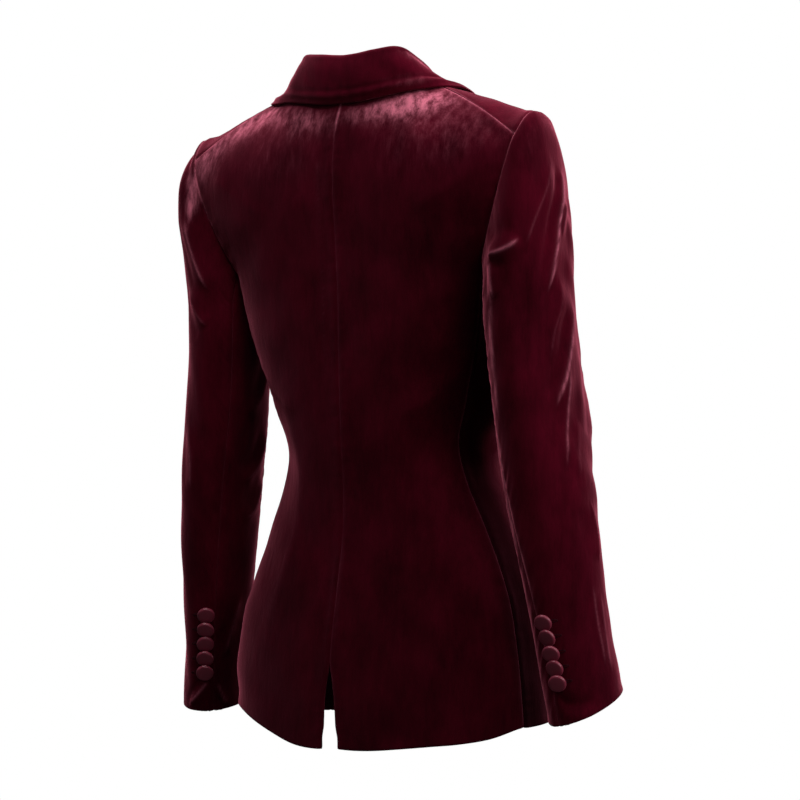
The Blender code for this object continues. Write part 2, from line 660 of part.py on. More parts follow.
def sleeve_pieces(side, word):
    """Top and under sleeve of one arm, split along the hind-arm and the front seam."""
    front, whole = BACK_ARM_ROWS + FRONT_ARM_ROWS, len(RING)
    rows = np.arange(CAP_ROWS + ARM_ROWS + 1.0)
    for name, first, last in (("sleeve_top_", 0, front), ("sleeve_under_", front, whole)):
        row, index = grid(rows, edged(np.arange(first, last + 1), True, True))
        points = sleeve(row, index, side)
        before = sleeve(rows, np.full_like(rows, (first - EDGE_SHARE) % whole), side)
        after = sleeve(rows, np.full_like(rows, (last + EDGE_SHARE) % whole), side)
        points[:, 0] = drawn_back(points[:, 0], points[:, 1], before)
        points[:, -1] = drawn_back(points[:, -1], points[:, -2], after)
        cloth_wall(name + word, points, side, CLOTH)


def covered_button(name, centre, normal, up, radius, lean, seat):
    """Domed button with a shallow back, leaning out at its upper edge and clear of the cloth."""
    mesh = bpy.data.meshes.new(name)
    shape = bmesh.new()
    bmesh.ops.create_uvsphere(shape, u_segments=14, v_segments=6, radius=radius)
    for corner in shape.verts:
        corner.co.z *= (BUTTON_DOME if corner.co.z > 0 else BUTTON_BACK) / radius
    shape.to_mesh(mesh)
    shape.free()
    normal = Vector(normal).normalized()
    up = Vector(up)
    up = (up - normal * up.dot(normal)).normalized()
    turn = Matrix((up.cross(normal), up, normal)).transposed().to_4x4()
    tip = Matrix.Rotation(math.radians(lean), 4, "X")
    height = seat + radius * math.sin(math.radians(lean))
    mesh.transform(Matrix.Translation(Vector(centre) + normal * height) @ turn @ tip)
    place(name, mesh, SATIN, 0.45, 0.3)


def cuff_buttons(side, word):
    """Stack of covered buttons beside the hind-arm seam above the cuff."""
    rows = np.linspace(CAP_ROWS, CAP_ROWS + ARM_ROWS, 400)
    seam = sleeve(rows, np.zeros_like(rows), side)
    beside = sleeve(rows, np.ones_like(rows), side)
    line = seam + (beside - seam) * BUTTON_SETBACK / np.linalg.norm(beside - seam, axis=1, keepdims=True)
    lengths = np.linalg.norm(np.diff(line[::-1], axis=0), axis=1)
    above_hem = np.concatenate([[0.0], np.cumsum(lengths)])[::-1]
    for number in range(CUFF_BUTTONS):
        spot = int(np.argmin(np.abs(above_hem - BUTTON_FIRST - number * BUTTON_PITCH)))
        up = line[spot - 4] - line[spot]
        normal = np.cross(up, beside[spot] - seam[spot])
        mirror = np.array((side, 1, 1))
        name = "cuff_button_%s_%d" % (word, number + 1)
        centre = line[spot] * mirror
        covered_button(name, centre, normal * mirror, up * mirror, BUTTON_RADIUS, BUTTON_LEAN, BUTTON_SEAT)


def front_button():
    """Single covered button at the break, on the lapped right front."""
    across = np.linspace(0.0, 0.4, 200)
    row = np.full_like(across, FRONT_BUTTON_ROW)
    line = front_panel(row, across, RIGHT)
    at = np.array([np.interp(0.0, line[:, 0], across)])
    where = np.array([FRONT_BUTTON_ROW])
    centre = front_panel(where, at, RIGHT)[0]
    normal = normals(front_panel, where, at, RIGHT)[0]
    for vector in (centre, normal):
        vector[0] *= RIGHT
    covered_button("front_button", centre, normal, (0.0, 0.0, 1.0), FRONT_BUTTON_RADIUS, 0.0,
                   FRONT_BUTTON_SEAT)


def main():
    """Build every piece of the blazer."""
    for thing in list(bpy.data.objects):
        bpy.data.objects.remove(thing, do_unlink=True)
    blazer = bpy.data.collections.new("velvet_blazer")
    bpy.context.scene.collection.children.link(blazer)
    for side, word in ((LEFT, "left"), (RIGHT, "right")):
        back_pieces(side, word)
        side_pieces(side, word)
        front_pieces(side, word)
        lapel_pieces(side, word)
        sleeve_pieces(side, word)
        cuff_buttons(side, word)
    collar_piece()
    front_button()


main()
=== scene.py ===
"""Velvet blazer as worn cloth: hollow panels, two-piece sleeves, turned collar and covered buttons."""

import json
import math

import bpy
import numpy as np
from bpy.props import FloatProperty, FloatVectorProperty, PointerProperty
from bpy.types import Operator, Panel, PropertyGroup
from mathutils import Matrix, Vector

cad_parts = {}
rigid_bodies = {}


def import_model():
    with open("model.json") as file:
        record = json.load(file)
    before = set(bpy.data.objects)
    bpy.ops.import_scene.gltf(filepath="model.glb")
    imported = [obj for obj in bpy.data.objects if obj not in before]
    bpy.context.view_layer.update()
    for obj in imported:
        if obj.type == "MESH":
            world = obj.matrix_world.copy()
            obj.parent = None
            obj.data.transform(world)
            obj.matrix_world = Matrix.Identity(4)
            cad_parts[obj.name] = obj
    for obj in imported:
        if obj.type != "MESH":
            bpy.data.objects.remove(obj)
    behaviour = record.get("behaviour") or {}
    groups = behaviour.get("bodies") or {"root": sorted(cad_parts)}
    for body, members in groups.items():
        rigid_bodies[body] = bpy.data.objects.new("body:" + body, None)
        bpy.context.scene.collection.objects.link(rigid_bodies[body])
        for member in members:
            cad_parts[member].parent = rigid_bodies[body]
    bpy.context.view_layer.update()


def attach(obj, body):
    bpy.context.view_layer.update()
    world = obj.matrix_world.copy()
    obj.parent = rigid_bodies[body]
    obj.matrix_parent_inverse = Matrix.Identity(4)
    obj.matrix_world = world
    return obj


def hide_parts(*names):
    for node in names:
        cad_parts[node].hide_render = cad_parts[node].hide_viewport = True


for thing in list(bpy.data.objects):
    bpy.data.objects.remove(thing, do_unlink=True)
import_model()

bl_info = {
    "name": "Velvet blazer",
    "version": (1, 0, 0),
    "blender": (4, 5, 0),
    "location": "3D View > Sidebar > Blazer",
    "description": "Builds a worn velvet blazer from cloth panels, with its stage",
    "category": "Object",
}

LEFT, RIGHT = 1, -1
SIDES = ((LEFT, "left"), (RIGHT, "right"))

# Rows of the panels and places round the armhole
LOWER_ROWS = 13
BACK_ARM_ROWS = 5
SHOULDER_ROWS = 4
FRONT_ARM_ROWS = 7
UNDERARM_STEPS = 6
CAP_ROWS = 5
ARM_ROWS = 12
BACK_ROWS = LOWER_ROWS + BACK_ARM_ROWS + SHOULDER_ROWS
FRONT_ROWS = LOWER_ROWS + FRONT_ARM_ROWS
SLEEVE_ROWS = CAP_ROWS + ARM_ROWS
FRONT_SEAM = BACK_ARM_ROWS + FRONT_ARM_ROWS

# Figure the cloth hangs on: height, half width, back, front, fullness of the oval
BODY = (
    (-0.700, 0.1740, 0.0550, -0.1800, 2.40),
    (-0.655, 0.1735, 0.0550, -0.1780, 2.40),
    (-0.575, 0.1690, 0.0540, -0.1730, 2.40),
    (-0.506, 0.1590, 0.0430, -0.1640, 2.35),
    (-0.442, 0.1350, 0.0330, -0.1550, 2.30),
    (-0.398, 0.1160, 0.0340, -0.1490, 2.25),
    (-0.362, 0.1090, 0.0370, -0.1500, 2.25),
    (-0.318, 0.1270, 0.0390, -0.1600, 2.45),
    (-0.260, 0.1430, 0.0410, -0.1780, 2.60),
    (-0.200, 0.1500, 0.0430, -0.1800, 2.60),
    (-0.150, 0.1550, 0.0470, -0.1600, 2.60),
    (-0.107, 0.1600, 0.0510, -0.1250, 2.60),
    (-0.064, 0.1600, 0.0490, -0.0950, 2.60),
    (-0.037, 0.1600, 0.0420, -0.0800, 2.60),
    (-0.017, 0.1600, 0.0340, -0.0700, 2.60),
)
WIDEST = 0.46
ARC_PULL = 1.08

# Hem: angle from the centre back, rise over the hem level on the left and on the right
HEM_LEVEL = -0.661
HEM = (
    (0.0, 0.0000, 0.0000),
    (14.0, 0.0070, 0.0010),
    (28.0, 0.0180, 0.0030),
    (40.0, 0.0260, 0.0040),
    (52.0, 0.0330, 0.0050),
    (66.0, 0.0380, 0.0090),
    (84.0, 0.0400, 0.0220),
    (112.0, 0.0340, 0.0340),
    (150.0, 0.0220, 0.0220),
    (200.0, 0.0180, 0.0180),
)

# Side seams: height, angle of the back seam, angle of the front seam
SIDE_SEAMS = (
    (-0.700, 84.0, 120.0),
    (-0.560, 83.0, 120.0),
    (-0.440, 78.0, 120.0),
    (-0.362, 74.0, 119.0),
    (-0.290, 69.0, 113.0),
    (-0.240, 66.0, 106.0),
    (-0.170, 66.0, 101.0),
)

# Shares of a side seam from which it draws in to the armhole, and the side panel down to the underarm
SEAM_MEETS = 0.70
UNDERARM_FROM = 0.45

# Armhole on the wearer's left: x, y, z of each named point
ARMHOLE = (
    ("back notch", 0.1520, 0.0080, -0.1860),
    ("back", 0.1685, 0.0200, -0.1510),
    ("blade", 0.1850, 0.0260, -0.1120),
    ("shoulder seam", 0.2000, 0.0210, -0.0650),
    ("top", 0.2040, -0.0100, -0.0385),
    ("front top", 0.1960, -0.0450, -0.0610),
    ("front", 0.1770, -0.0700, -0.1220),
    ("front notch", 0.1520, -0.0800, -0.1760),
    ("underarm", 0.1440, -0.0400, -0.2170),
)

# Neck end of the shoulder seam; rise of that seam in its middle
NECK_SIDE = (0.0750, -0.0060, -0.0010)
SHOULDER_BOW = {LEFT: 0.0090, RIGHT: 0.0060}

# Heights of the centre back at the rows of the hem, the notch, the shoulder tip and the neck
BACK_HEIGHTS = (HEM_LEVEL, -0.1950, -0.0850, -0.0170)

# Back yoke rows: row past the notch, heading where the row ends, rise of that end per length
YOKE = (
    (0.0, -45.0, 0.00),
    (1.0, -33.0, 0.01),
    (2.0, -28.0, 0.02),
    (3.0, -22.0, 0.03),
    (5.0, -19.0, 0.06),
    (7.0, -34.0, 0.22),
    (9.0, -66.0, 0.25),
)

# Front edge and roll line on the left: row, x, y, z, heading off the edge
FRONT_EDGE = (
    (0.0, 0.0720, -0.1700, -0.6440, 8.0),
    (1.0, 0.0330, -0.1790, -0.6230, 4.0),
    (2.0, 0.0130, -0.1790, -0.5920, 2.0),
    (4.0, -0.0070, -0.1720, -0.5280, 0.0),
    (6.0, -0.0180, -0.1610, -0.4580, 0.0),
    (8.0, -0.0200, -0.1520, -0.3860, 0.0),
    (9.0, -0.0060, -0.1530, -0.3480, 0.0),
    (10.5, 0.0170, -0.1620, -0.2960, 0.0),
    (13.0, 0.0400, -0.1740, -0.2200, 2.0),
    (15.0, 0.0540, -0.1550, -0.1500, 8.0),
    (17.0, 0.0665, -0.1020, -0.0660, 14.0),
    (18.6, 0.0735, -0.0370, -0.0110, 8.0),
    (20.0, 0.0750, -0.0060, -0.0010, 12.0),
)

# Front rows past the notch: row, heading at the armhole and the shoulder seam
FRONT_ARM = (
    (13.0, 74.0),
    (15.0, 66.0),
    (17.0, 50.0),
    (18.5, 20.0),
    (20.0, 12.0),
)

# Rows in which a heading turns to the armhole's; row from which the front slopes back to the shoulder, and
# the rows in which its slope and its bow come in
JOIN_ROWS = 4.0
SLOPE_FROM_ROW = LOWER_ROWS + 2
SLOPE_ROWS = 4.0
BOW_ROWS = 5.0

# Right front over the left: lift, rows where it fades, distances from the middle where it starts and is full
LAP_LIFT = 0.0050
LAP_ROWS = (9.0, 12.5)
LAP_FROM = 0.060
LAP_FULL = 0.030

# Open vent at the centre back: height, half gap
VENT = (
    (-0.700, 0.0110),
    (-0.652, 0.0105),
    (-0.640, 0.0078),
    (-0.615, 0.0066),
    (-0.596, 0.0042),
    (-0.585, 0.0018),
    (-0.577, 0.0002),
    (-0.570, 0.00015),
    (0.100, 0.00015),
)

# Lapel on the front's rows: first row, last row at the roll and at the tip, lift off the front, its start
# inside the roll, step of its grid; then share of its length and share of the row it covers
LAPEL_FIRST_ROW = 9.4
LAPEL_TOP_ROW_ROLL = 17.7
LAPEL_TOP_ROW_TIP = 16.2
LAPEL_LIE = 0.0017
LAPEL_INNER = -0.9
LAPEL_CELL = 0.0025
LAPEL = (
    (0.00, 0.03),
    (0.25, 0.19),
    (0.55, 0.37),
    (0.80, 0.49),
    (1.00, 0.55),
)

# Ridge along the lapel's edge: distance from it, half width, height
LAPEL_EDGE = ((0.0060, 0.0025, 0.0005),)

# Collar: share of half length, roll x, y, z, fall bulge, lift of the edge, its back row left and right
COLLAR = (
    (0.00, 0.0000, 0.0320, 0.0220, 0.0060, 0.0010, 21.62, 21.62),
    (0.22, 0.0340, 0.0290, 0.0255, 0.0070, 0.0012, 21.52, 21.55),
    (0.40, 0.0590, 0.0170, 0.0275, 0.0090, 0.0010, 21.28, 21.45),
    (0.58, 0.0675, -0.0080, 0.0150, 0.0050, 0.0004, 20.75, 21.20),
    (0.78, 0.0690, -0.0350, -0.0035, 0.0030, 0.0003, 20.75, 21.20),
    (1.00, 0.0685, -0.0630, -0.0255, 0.0030, 0.0003, 20.75, 21.20),
)

# Collar: lift off the cloth, radius of the roll, share of half length at the shoulder seam, rows and place
# where its foot and its edge end in front, lift of the foot, blends from the back to the front
COLLAR_LIE = 0.0004
COLLAR_ROLL = 0.0048
COLLAR_SEAM_SHARE = 0.58
COLLAR_FOOT_ROW_END = 17.85
COLLAR_FALL_ROW_END = 16.90
COLLAR_FALL_ACROSS_END = 0.40
COLLAR_FOOT_LIFT = 0.0005
COLLAR_BLEND = 0.04
COLLAR_KNEE_BLEND = 0.2

# Collar's grid: steps of the stand, the roll and the fall, extra steps at the edge, columns
COLLAR_STEPS = (9, 8, 25)
COLLAR_LAST_STEPS = (2.985, 2.995)
COLLAR_COLUMNS = 301

# Ridge and groove along the collar's edge: distance from it, half width, height; then painted highlight along
# it, with strength
COLLAR_EDGE = ((0.0075, 0.0030, 0.0012), (0.0125, 0.0022, -0.0008))
COLLAR_EDGE_HIGHLIGHT = ((0.0060, 0.0050, 0.16), (0.0160, 0.0025, 0.14))

# Sleeve sections down the arm: x, y, z, half width side to side, half width front to back
SLEEVE = (
    (0.1885, -0.0215, -0.2400, 0.0380, 0.0510),
    (0.1945, -0.0265, -0.3120, 0.0385, 0.0515),
    (0.2020, -0.0285, -0.3740, 0.0385, 0.0515),
    (0.2090, -0.0320, -0.4370, 0.0370, 0.0480),
    (0.2165, -0.0385, -0.5000, 0.0335, 0.0440),
    (0.2240, -0.0465, -0.5650, 0.0310, 0.0400),
    (0.2306, -0.0540, -0.6175, 0.0320, 0.0410),
)

# Sleeve in degrees: turn of its ovals, twist down the arm, tilt of the cuff and the share where that starts
SLEEVE_TURN = 9.0
SLEEVE_TWIST = {LEFT: 11.0, RIGHT: 46.0}
CUFF_TILT = {LEFT: 7.0, RIGHT: 17.0}
CUFF_TILT_FROM = 0.55

# Sleeve cap: its top on the ring, start outside the ring, edge turned in, then how it leaves and arrives
SLEEVE_TOP = 6
SLEEVE_START = 0.0003
SLEEVE_TURN_IN = 0.0022
SLEEVE_OUTWARD = (0.68, 0.0, -0.09)
SLEEVE_SWELL = 0.66
SLEEVE_PULL = 0.62
SLEEVE_DROP = 1.1

# Cuff buttons: pitch, first above the hem, set back, lift off the cloth, then each one's lean and sideways tip
BUTTON_PITCH = 0.0150
BUTTON_FIRST = 0.0400
BUTTON_SETBACK = 0.0095
BUTTON_SEAT = 0.0007
BUTTON_TIPS = {
    LEFT: ((20, 5), (23, -4), (19, 3), (22, -6), (18, 2)),
    RIGHT: ((24, 8), (20, -3), (25, 5), (19, -7), (22, 4)),
}
FRONT_BUTTON_ROW = 7.7
FRONT_BUTTON_SEAT = 0.0020

# Grid of a button, and the small pleats of its cover
BUTTON_COLUMNS = 40
BUTTON_RINGS = 31
PLEATS = 24
PLEAT_DEPTH = 0.00006

# Buttonholes: shift from the button, length, lift off the cloth; then the stitched bead
CUFF_HOLE = (0.0070, 0.0130, 0.0009)
FRONT_HOLE = (-0.0050, 0.0240, 0.0006)
HOLE_HALF_WIDTH = 0.0011
HOLE_STEPS = 96
THREAD_RADIUS = 0.00055
THREAD_STEPS = 8
STITCHES = 36

# Covered button: share of its radius, height as a share of its dome, from the crown to the back
BUTTON_PROFILE = (
    (0.000, 0.900),
    (0.300, 0.890),
    (0.600, 0.850),
    (0.800, 0.780),
    (0.920, 0.640),
    (0.985, 0.380),
    (1.000, 0.120),
    (0.985, -0.100),
    (0.920, -0.240),
    (0.600, -0.280),
    (0.000, -0.280),
)

# Creases: places as row and across or index, half width and height in metres, skew to one side
BACK_CREASES = {
    LEFT: (
        (((18.6, 0.075), (17.3, 0.084), (12.6, 0.105), (9.5, 0.10)), 0.0026, 0.0005, 0.0),
        (((5.9, 0.028), (4.2, 0.030), (2.4, 0.030)), 0.0018, 0.0005, 0.0),
        (((9.4, 0.62), (7.6, 0.46), (5.4, 0.40), (2.2, 0.45)), 0.0240, 0.0024, 0.2),
        (((10.6, 0.98), (9.6, 0.70), (9.0, 0.40)), 0.0140, 0.0016, 0.3),
        (((17.4, 0.90), (16.4, 0.70), (15.6, 0.42)), 0.0180, 0.0016, -0.3),
        (((3.6, 0.86), (2.0, 0.80), (0.3, 0.80)), 0.0180, 0.0020, 0.2),
    ),
    RIGHT: (
        (((5.9, 0.022), (4.2, 0.026), (2.7, 0.030)), 0.0018, 0.0005, 0.0),
        (((9.8, 0.80), (8.2, 0.66), (6.2, 0.58), (3.4, 0.62)), 0.0240, 0.0022, -0.2),
        (((10.2, 0.99), (9.3, 0.74), (8.9, 0.45)), 0.0140, 0.0015, 0.3),
        (((17.0, 0.92), (16.2, 0.72), (15.4, 0.50)), 0.0180, 0.0018, -0.3),
        (((14.6, 0.97), (13.2, 0.84), (11.6, 0.74)), 0.0150, 0.0018, 0.2),
        (((4.0, 0.90), (2.0, 0.86), (0.2, 0.88)), 0.0200, 0.0020, 0.2),
    ),
}
SIDE_CREASES = {
    LEFT: (
        (((9.6, 0.05), (8.9, 0.45), (8.6, 0.90)), 0.0110, 0.0020, 0.2),
        (((8.2, 0.08), (7.6, 0.50), (7.8, 0.94)), 0.0100, 0.0016, -0.2),
        (((5.0, 0.5), (2.5, 0.45), (0.2, 0.5)), 0.0200, 0.0018, 0.0),
    ),
    RIGHT: (
        (((9.4, 0.05), (9.0, 0.45), (8.4, 0.90)), 0.0110, 0.0020, 0.2),
        (((8.0, 0.08), (7.7, 0.50), (8.0, 0.94)), 0.0100, 0.0016, -0.2),
        (((5.2, 0.45), (2.6, 0.52), (0.2, 0.55)), 0.0200, 0.0018, 0.0),
    ),
}
FRONT_CREASES = {
    LEFT: (
        (((7.8, 0.16), (8.4, 0.45), (9.4, 0.92)), 0.0120, 0.0022, 0.2),
        (((7.4, 0.20), (7.4, 0.50), (7.9, 0.90)), 0.0110, 0.0016, -0.2),
        (((6.8, 0.20), (4.6, 0.34), (1.2, 0.45)), 0.0200, 0.0020, 0.1),
        (((12.6, 0.94), (13.4, 0.80), (14.6, 0.72)), 0.0140, 0.0020, 0.3),
    ),
    RIGHT: (
        (((7.8, 0.18), (8.5, 0.48), (9.2, 0.92)), 0.0120, 0.0024, 0.2),
        (((7.3, 0.20), (7.2, 0.52), (7.6, 0.90)), 0.0110, 0.0018, -0.2),
        (((6.6, 0.24), (4.4, 0.36), (1.0, 0.42)), 0.0200, 0.0020, 0.1),
        (((12.8, 0.94), (13.6, 0.82), (14.8, 0.70)), 0.0140, 0.0020, 0.3),
    ),
}
SLEEVE_CREASES = {
    LEFT: (
        (((1.7, 3.60), (2.4, 2.70), (3.2, 1.55)), 0.0080, 0.0034, 0.2),
        (((3.8, 3.70), (4.3, 2.60), (4.7, 1.70)), 0.0085, 0.0022, 0.2),
        (((8.0, 3.20), (9.1, 2.60), (10.2, 2.30)), 0.0075, 0.0018, 0.2),
        (((16.00, 0.40), (16.45, 1.30), (16.92, 2.35)), 0.0040, 0.0022, 0.1),
        (((6.2, 9.40), (7.6, 8.40), (9.4, 8.00)), 0.0110, 0.0030, 0.2),
        (((8.6, 10.8), (9.4, 9.60), (10.2, 8.60)), 0.0090, 0.0028, -0.2),
        (((10.0, 11.2), (10.8, 10.0), (11.8, 9.00)), 0.0100, 0.0024, 0.2),
        (((3.0, 8.80), (4.4, 8.00), (6.0, 7.60)), 0.0110, 0.0026, 0.2),
        (((13.40, 15.20), (14.40, 16.10), (15.40, 17.00)), 0.0042, 0.0018, 0.1),
        (((16.10, 17.70), (16.50, 17.20), (16.95, 16.60)), 0.0032, 0.0016, 0.0),
        (((8.0, 13.2), (9.2, 14.6), (9.8, 16.2)), 0.0085, 0.0028, 0.2),
        (((9.6, 12.9), (10.6, 14.2), (11.0, 15.8)), 0.0080, 0.0024, -0.2),
        (((5.8, 13.4), (7.0, 14.8), (7.6, 16.6)), 0.0090, 0.0020, 0.2),
    ),
    RIGHT: (
        (((2.20, 7.20), (2.90, 6.75), (3.80, 6.05), (4.65, 5.40)), 0.0075, 0.0042, 0.25),
        (((2.10, 6.50), (2.70, 5.70), (3.10, 4.90), (3.45, 4.30)), 0.0085, 0.0020, 0.2),
        (((2.90, 7.05), (3.20, 6.90), (3.60, 6.70)), 0.0045, 0.0016, 0.0),
        (((3.15, 4.10), (3.05, 3.20), (2.75, 2.30), (2.05, 1.20)), 0.0075, 0.0046, -0.3),
        (((2.60, 1.60), (3.40, 1.80), (4.30, 2.05)), 0.0060, 0.0026, 0.0),
        (((4.20, 6.25), (4.80, 6.15), (5.60, 5.55), (6.60, 5.10)), 0.0090, 0.0024, 0.2),
        (((4.70, 7.45), (5.90, 6.60), (7.00, 5.70), (8.10, 4.80)), 0.0080, 0.0042, 0.25),
        (((6.60, 6.10), (8.20, 5.45), (9.90, 4.70)), 0.0070, 0.0022, -0.1),
        (((8.30, 6.10), (9.20, 5.70), (10.20, 5.30)), 0.0090, 0.0018, 0.1),
        (((10.8, 5.90), (11.8, 5.95), (12.8, 5.60)), 0.0110, 0.0020, 0.1),
        (((13.6, 5.30), (15.0, 4.95), (16.3, 4.85)), 0.0050, 0.0013, 0.0),
        (((13.2, 4.70), (14.6, 4.45), (16.1, 4.40)), 0.0050, 0.0012, 0.0),
        (((16.10, 0.15), (16.50, 1.45), (16.62, 3.10)), 0.0055, -0.0024, 0.0),
        (((6.4, 9.60), (7.6, 8.60), (9.2, 8.00)), 0.0110, 0.0030, 0.2),
        (((8.8, 11.0), (9.6, 9.80), (10.6, 8.80)), 0.0090, 0.0028, -0.2),
        (((8.0, 13.2), (9.2, 14.6), (9.8, 16.2)), 0.0085, 0.0028, 0.2),
        (((9.6, 12.9), (10.6, 14.2), (11.0, 15.8)), 0.0080, 0.0024, -0.2),
    ),
}

# Painted light and shade on the pile: row, place, how far each way, strength; above 0 a painted highlight,
# below 0 painted shade
BACK_LIGHT_AND_SHADE = {
    LEFT: (
        (20.7, 0.35, 0.95, 0.50, 0.52),
        (20.0, 0.90, 1.20, 0.22, 0.62),
        (17.8, 0.95, 1.30, 0.12, 0.60),
        (1.6, 0.50, 1.50, 0.035, 0.22),
        (18.4, 0.40, 2.20, 0.55, 0.28),
        (11.0, 0.96, 3.40, 0.16, -0.35),
        (3.0, 0.50, 6.00, 0.80, -0.36),
    ),
    RIGHT: (
        (20.8, 0.70, 0.85, 0.34, 0.72),
        (20.9, 0.25, 0.70, 0.40, 0.50),
        (18.8, 0.70, 2.20, 0.60, 0.38),
        (1.0, 0.97, 1.40, 0.05, 0.25),
        (11.5, 0.96, 3.20, 0.20, -0.60),
        (3.0, 0.50, 6.00, 0.80, -0.30),
    ),
}
# Painted highlights on the collar's roll and fall
COLLAR_HIGHLIGHTS = (
    (2.05, -0.52, 0.20, 0.16, 0.60),
    (2.75, -0.42, 0.18, 0.14, 0.30),
    (2.05, 0.40, 0.12, 0.10, 0.25),
)
# Painted highlights and painted shade on the sleeves
SLEEVE_LIGHT_AND_SHADE = {
    LEFT: (
        (0.4, 4.0, 0.75, 0.85, 0.85),
        (1.2, 3.4, 0.80, 0.45, 0.60),
        (9.4, 2.5, 0.70, 0.35, 0.25),
    ),
    RIGHT: (
        (1.2, 5.2, 0.80, 1.20, 0.25),
        (4.0, 1.72, 0.90, 0.30, 0.85),
        (5.5, 1.36, 1.00, 0.30, 1.00),
        (7.1, 1.10, 0.90, 0.30, 0.90),
        (8.9, 17.70, 1.20, 0.34, 1.00),
        (11.0, 17.66, 1.40, 0.34, 0.95),
        (8.6, 0.20, 1.00, 0.36, 0.85),
        (10.4, 0.10, 1.30, 0.32, 0.90),
        (12.4, 0.05, 1.20, 0.26, 0.70),
        (3.6, 1.3, 0.60, 0.80, -0.80),
        (9.2, 5.6, 1.10, 0.30, 0.22),
        (15.2, 4.7, 1.30, 0.35, 0.22),
        (11.8, 6.0, 0.80, 0.40, 0.20),
    ),
}

# Sleeve zones off the plain form: row, place, how far each way, height
SLEEVE_PRESSED = {
    LEFT: ((0.5, 6.5, 0.8, 2.5, -0.0075), (2.6, 6.5, 0.9, 2.5, 0.0035)),
    RIGHT: ((1.7, 7.0, 1.3, 2.0, -0.0065),),
}

# Finest part of a top sleeve's grid: from and to a share of the way round, step
DENSE = {LEFT: (0.02, 0.34, 0.0013), RIGHT: (0.07, 0.64, 0.0012)}

# Hind seam of the sleeves: puckers, painted highlight as a base and a rise about a row, reach of that
# highlight
HIND_PUCKER = {LEFT: 1.2, RIGHT: 2.2}
HIND_HIGHLIGHT = {LEFT: (0.08, 0.00), RIGHT: (0.16, 0.50)}
HIND_HIGHLIGHT_ROW = 5.5
HIND_HIGHLIGHT_ROWS = 4.0
HIND_HIGHLIGHT_REACH = {LEFT: 0.0012, RIGHT: 0.0026}

# Roll of the sleeve head: height, its middle on the ring and its spread
HEAD_ROLL = {LEFT: 0.0010, RIGHT: 0.0018}
HEAD_PLACE = 6.0
HEAD_SPREAD = 4.0

# Painted shade on the side panels: its strength at the back seam, share lost at the front seam; row where a
# painted highlight lies along the centre seam
SIDE_PAINTED_SHADE = 0.62
SIDE_PAINTED_SHADE_FADE = 0.75
UNDER_COLLAR_ROW = 20.9

# Grid of the cloth: step at a closed edge, growth of the steps away from it, steps of the rounded rim,
# a piece closed at all four edges, step for the normals of a form
EDGE_STEP = 0.0014
STEP_GROWTH = 0.16
RIM_STEPS = 5
ALL_EDGES = (True, True, True, True)
NORMAL_STEP = 0.02

# Sewing: gap at a seam, dip and reach of its ridge, lengths, dip and reach of its puckers, depths of the hems
SEAM_GAP = 0.0003
SEAM_DIP = 0.0020
SEAM_REACH = 0.0105
PUCKER_LENGTHS = (0.006, 0.024)
PUCKER_DIP = 0.003
PUCKER_REACH = 0.009
HEM_DEPTH = 0.012
CUFF_DEPTH = 0.010

# Sine waves summed in one swell or pucker
WAVES = 9

# Folds: share of a crease that fades at each end, its steps, how far a sewn edge holds creases and zones flat
CREASE_FADE = 0.22
CREASE_STEPS = 48
SEWN_HOLD = 0.009
PRESS_HOLD = 0.015

# Crests with a painted highlight: full height, half widths from full to none, half widths of the painted
# highlight line and its glow
PRESSED_HEIGHT = 0.0040
PRESSED_WIDTHS = (0.0065, 0.0105)
LINE_HALF_WIDTH = 0.0015
GLOW_HALF_WIDTH = 0.0045

# Cells of the noises along each axis: pile by its place, reverse and satin by the cloth's own UV
STREAK_CELL = (0.0019, 0.0019, 0.0120)
GRAIN_CELL = (0.0008, 0.0008, 0.0020)
PATCH_CELL = (0.0420, 0.0420, 0.0700)
BAND_CELL = (0.0080, 0.0080, 0.0260)
REVERSE_CELL = (0.0010, 0.0010, 1.0)
SATIN_CELL = (0.0004, 0.0012, 1.0)


def smooth(knots, values, at):
    """Cubic through the rows of a table, with slopes from the neighbouring rows."""
    knots = np.asarray(knots, float)
    values = np.asarray(values, float)
    flat = values.reshape(len(knots), -1)
    step = np.diff(knots)[:, None]
    rise = np.diff(flat, axis=0) / step
    slope = np.empty_like(flat)
    slope[0] = rise[0]
    slope[-1] = rise[-1]
    slope[1:-1] = (rise[:-1] * step[1:] + rise[1:] * step[:-1]) / (step[1:] + step[:-1])
    at = np.clip(np.asarray(at, float), knots[0], knots[-1])
    span = np.clip(np.searchsorted(knots, at, side="right") - 1, 0, len(knots) - 2)
    wide = knots[span + 1] - knots[span]
    leave, arrive = wide[..., None] * slope[span], wide[..., None] * slope[span + 1]
    curve = hermite(flat[span], leave, flat[span + 1], arrive, (at - knots[span]) / wide)
    return curve.reshape(at.shape + values.shape[1:])


def column(table, index):
    """One column of a table as an array."""
    return np.array([row[index] for row in table], float)


def hermite(start, leave, end, arrive, share):
    """Cubic from start to end that leaves and arrives along the given directions, at a share of its way."""
    share = share[..., None]
    first = (1 + 2 * share) * (1 - share) ** 2 * start + share * (1 - share) ** 2 * leave
    return first + share * share * (3 - 2 * share) * end + share * share * (share - 1) * arrive


def ease(x):
    """Soft step from 0 to 1."""
    x = np.clip(x, 0.0, 1.0)
    return x * x * (3 - 2 * x)


def vec(x, y, z):
    """Stack of points from three arrays of one shape."""
    return np.stack(np.broadcast_arrays(x, y, z), axis=-1).astype(float)


def unit(v):
    """Vectors of length one along their last axis."""
    return v / np.maximum(np.linalg.norm(v, axis=-1, keepdims=True), 1e-12)


def reach(points, axis):
    """Distance along one axis of a grid, or along a line of points, from its start."""
    step = np.linalg.norm(np.diff(points, axis=axis), axis=-1)
    zero = np.zeros_like(np.take(step, [0], axis=axis))
    return np.concatenate([zero, np.cumsum(step, axis=axis)], axis=axis)


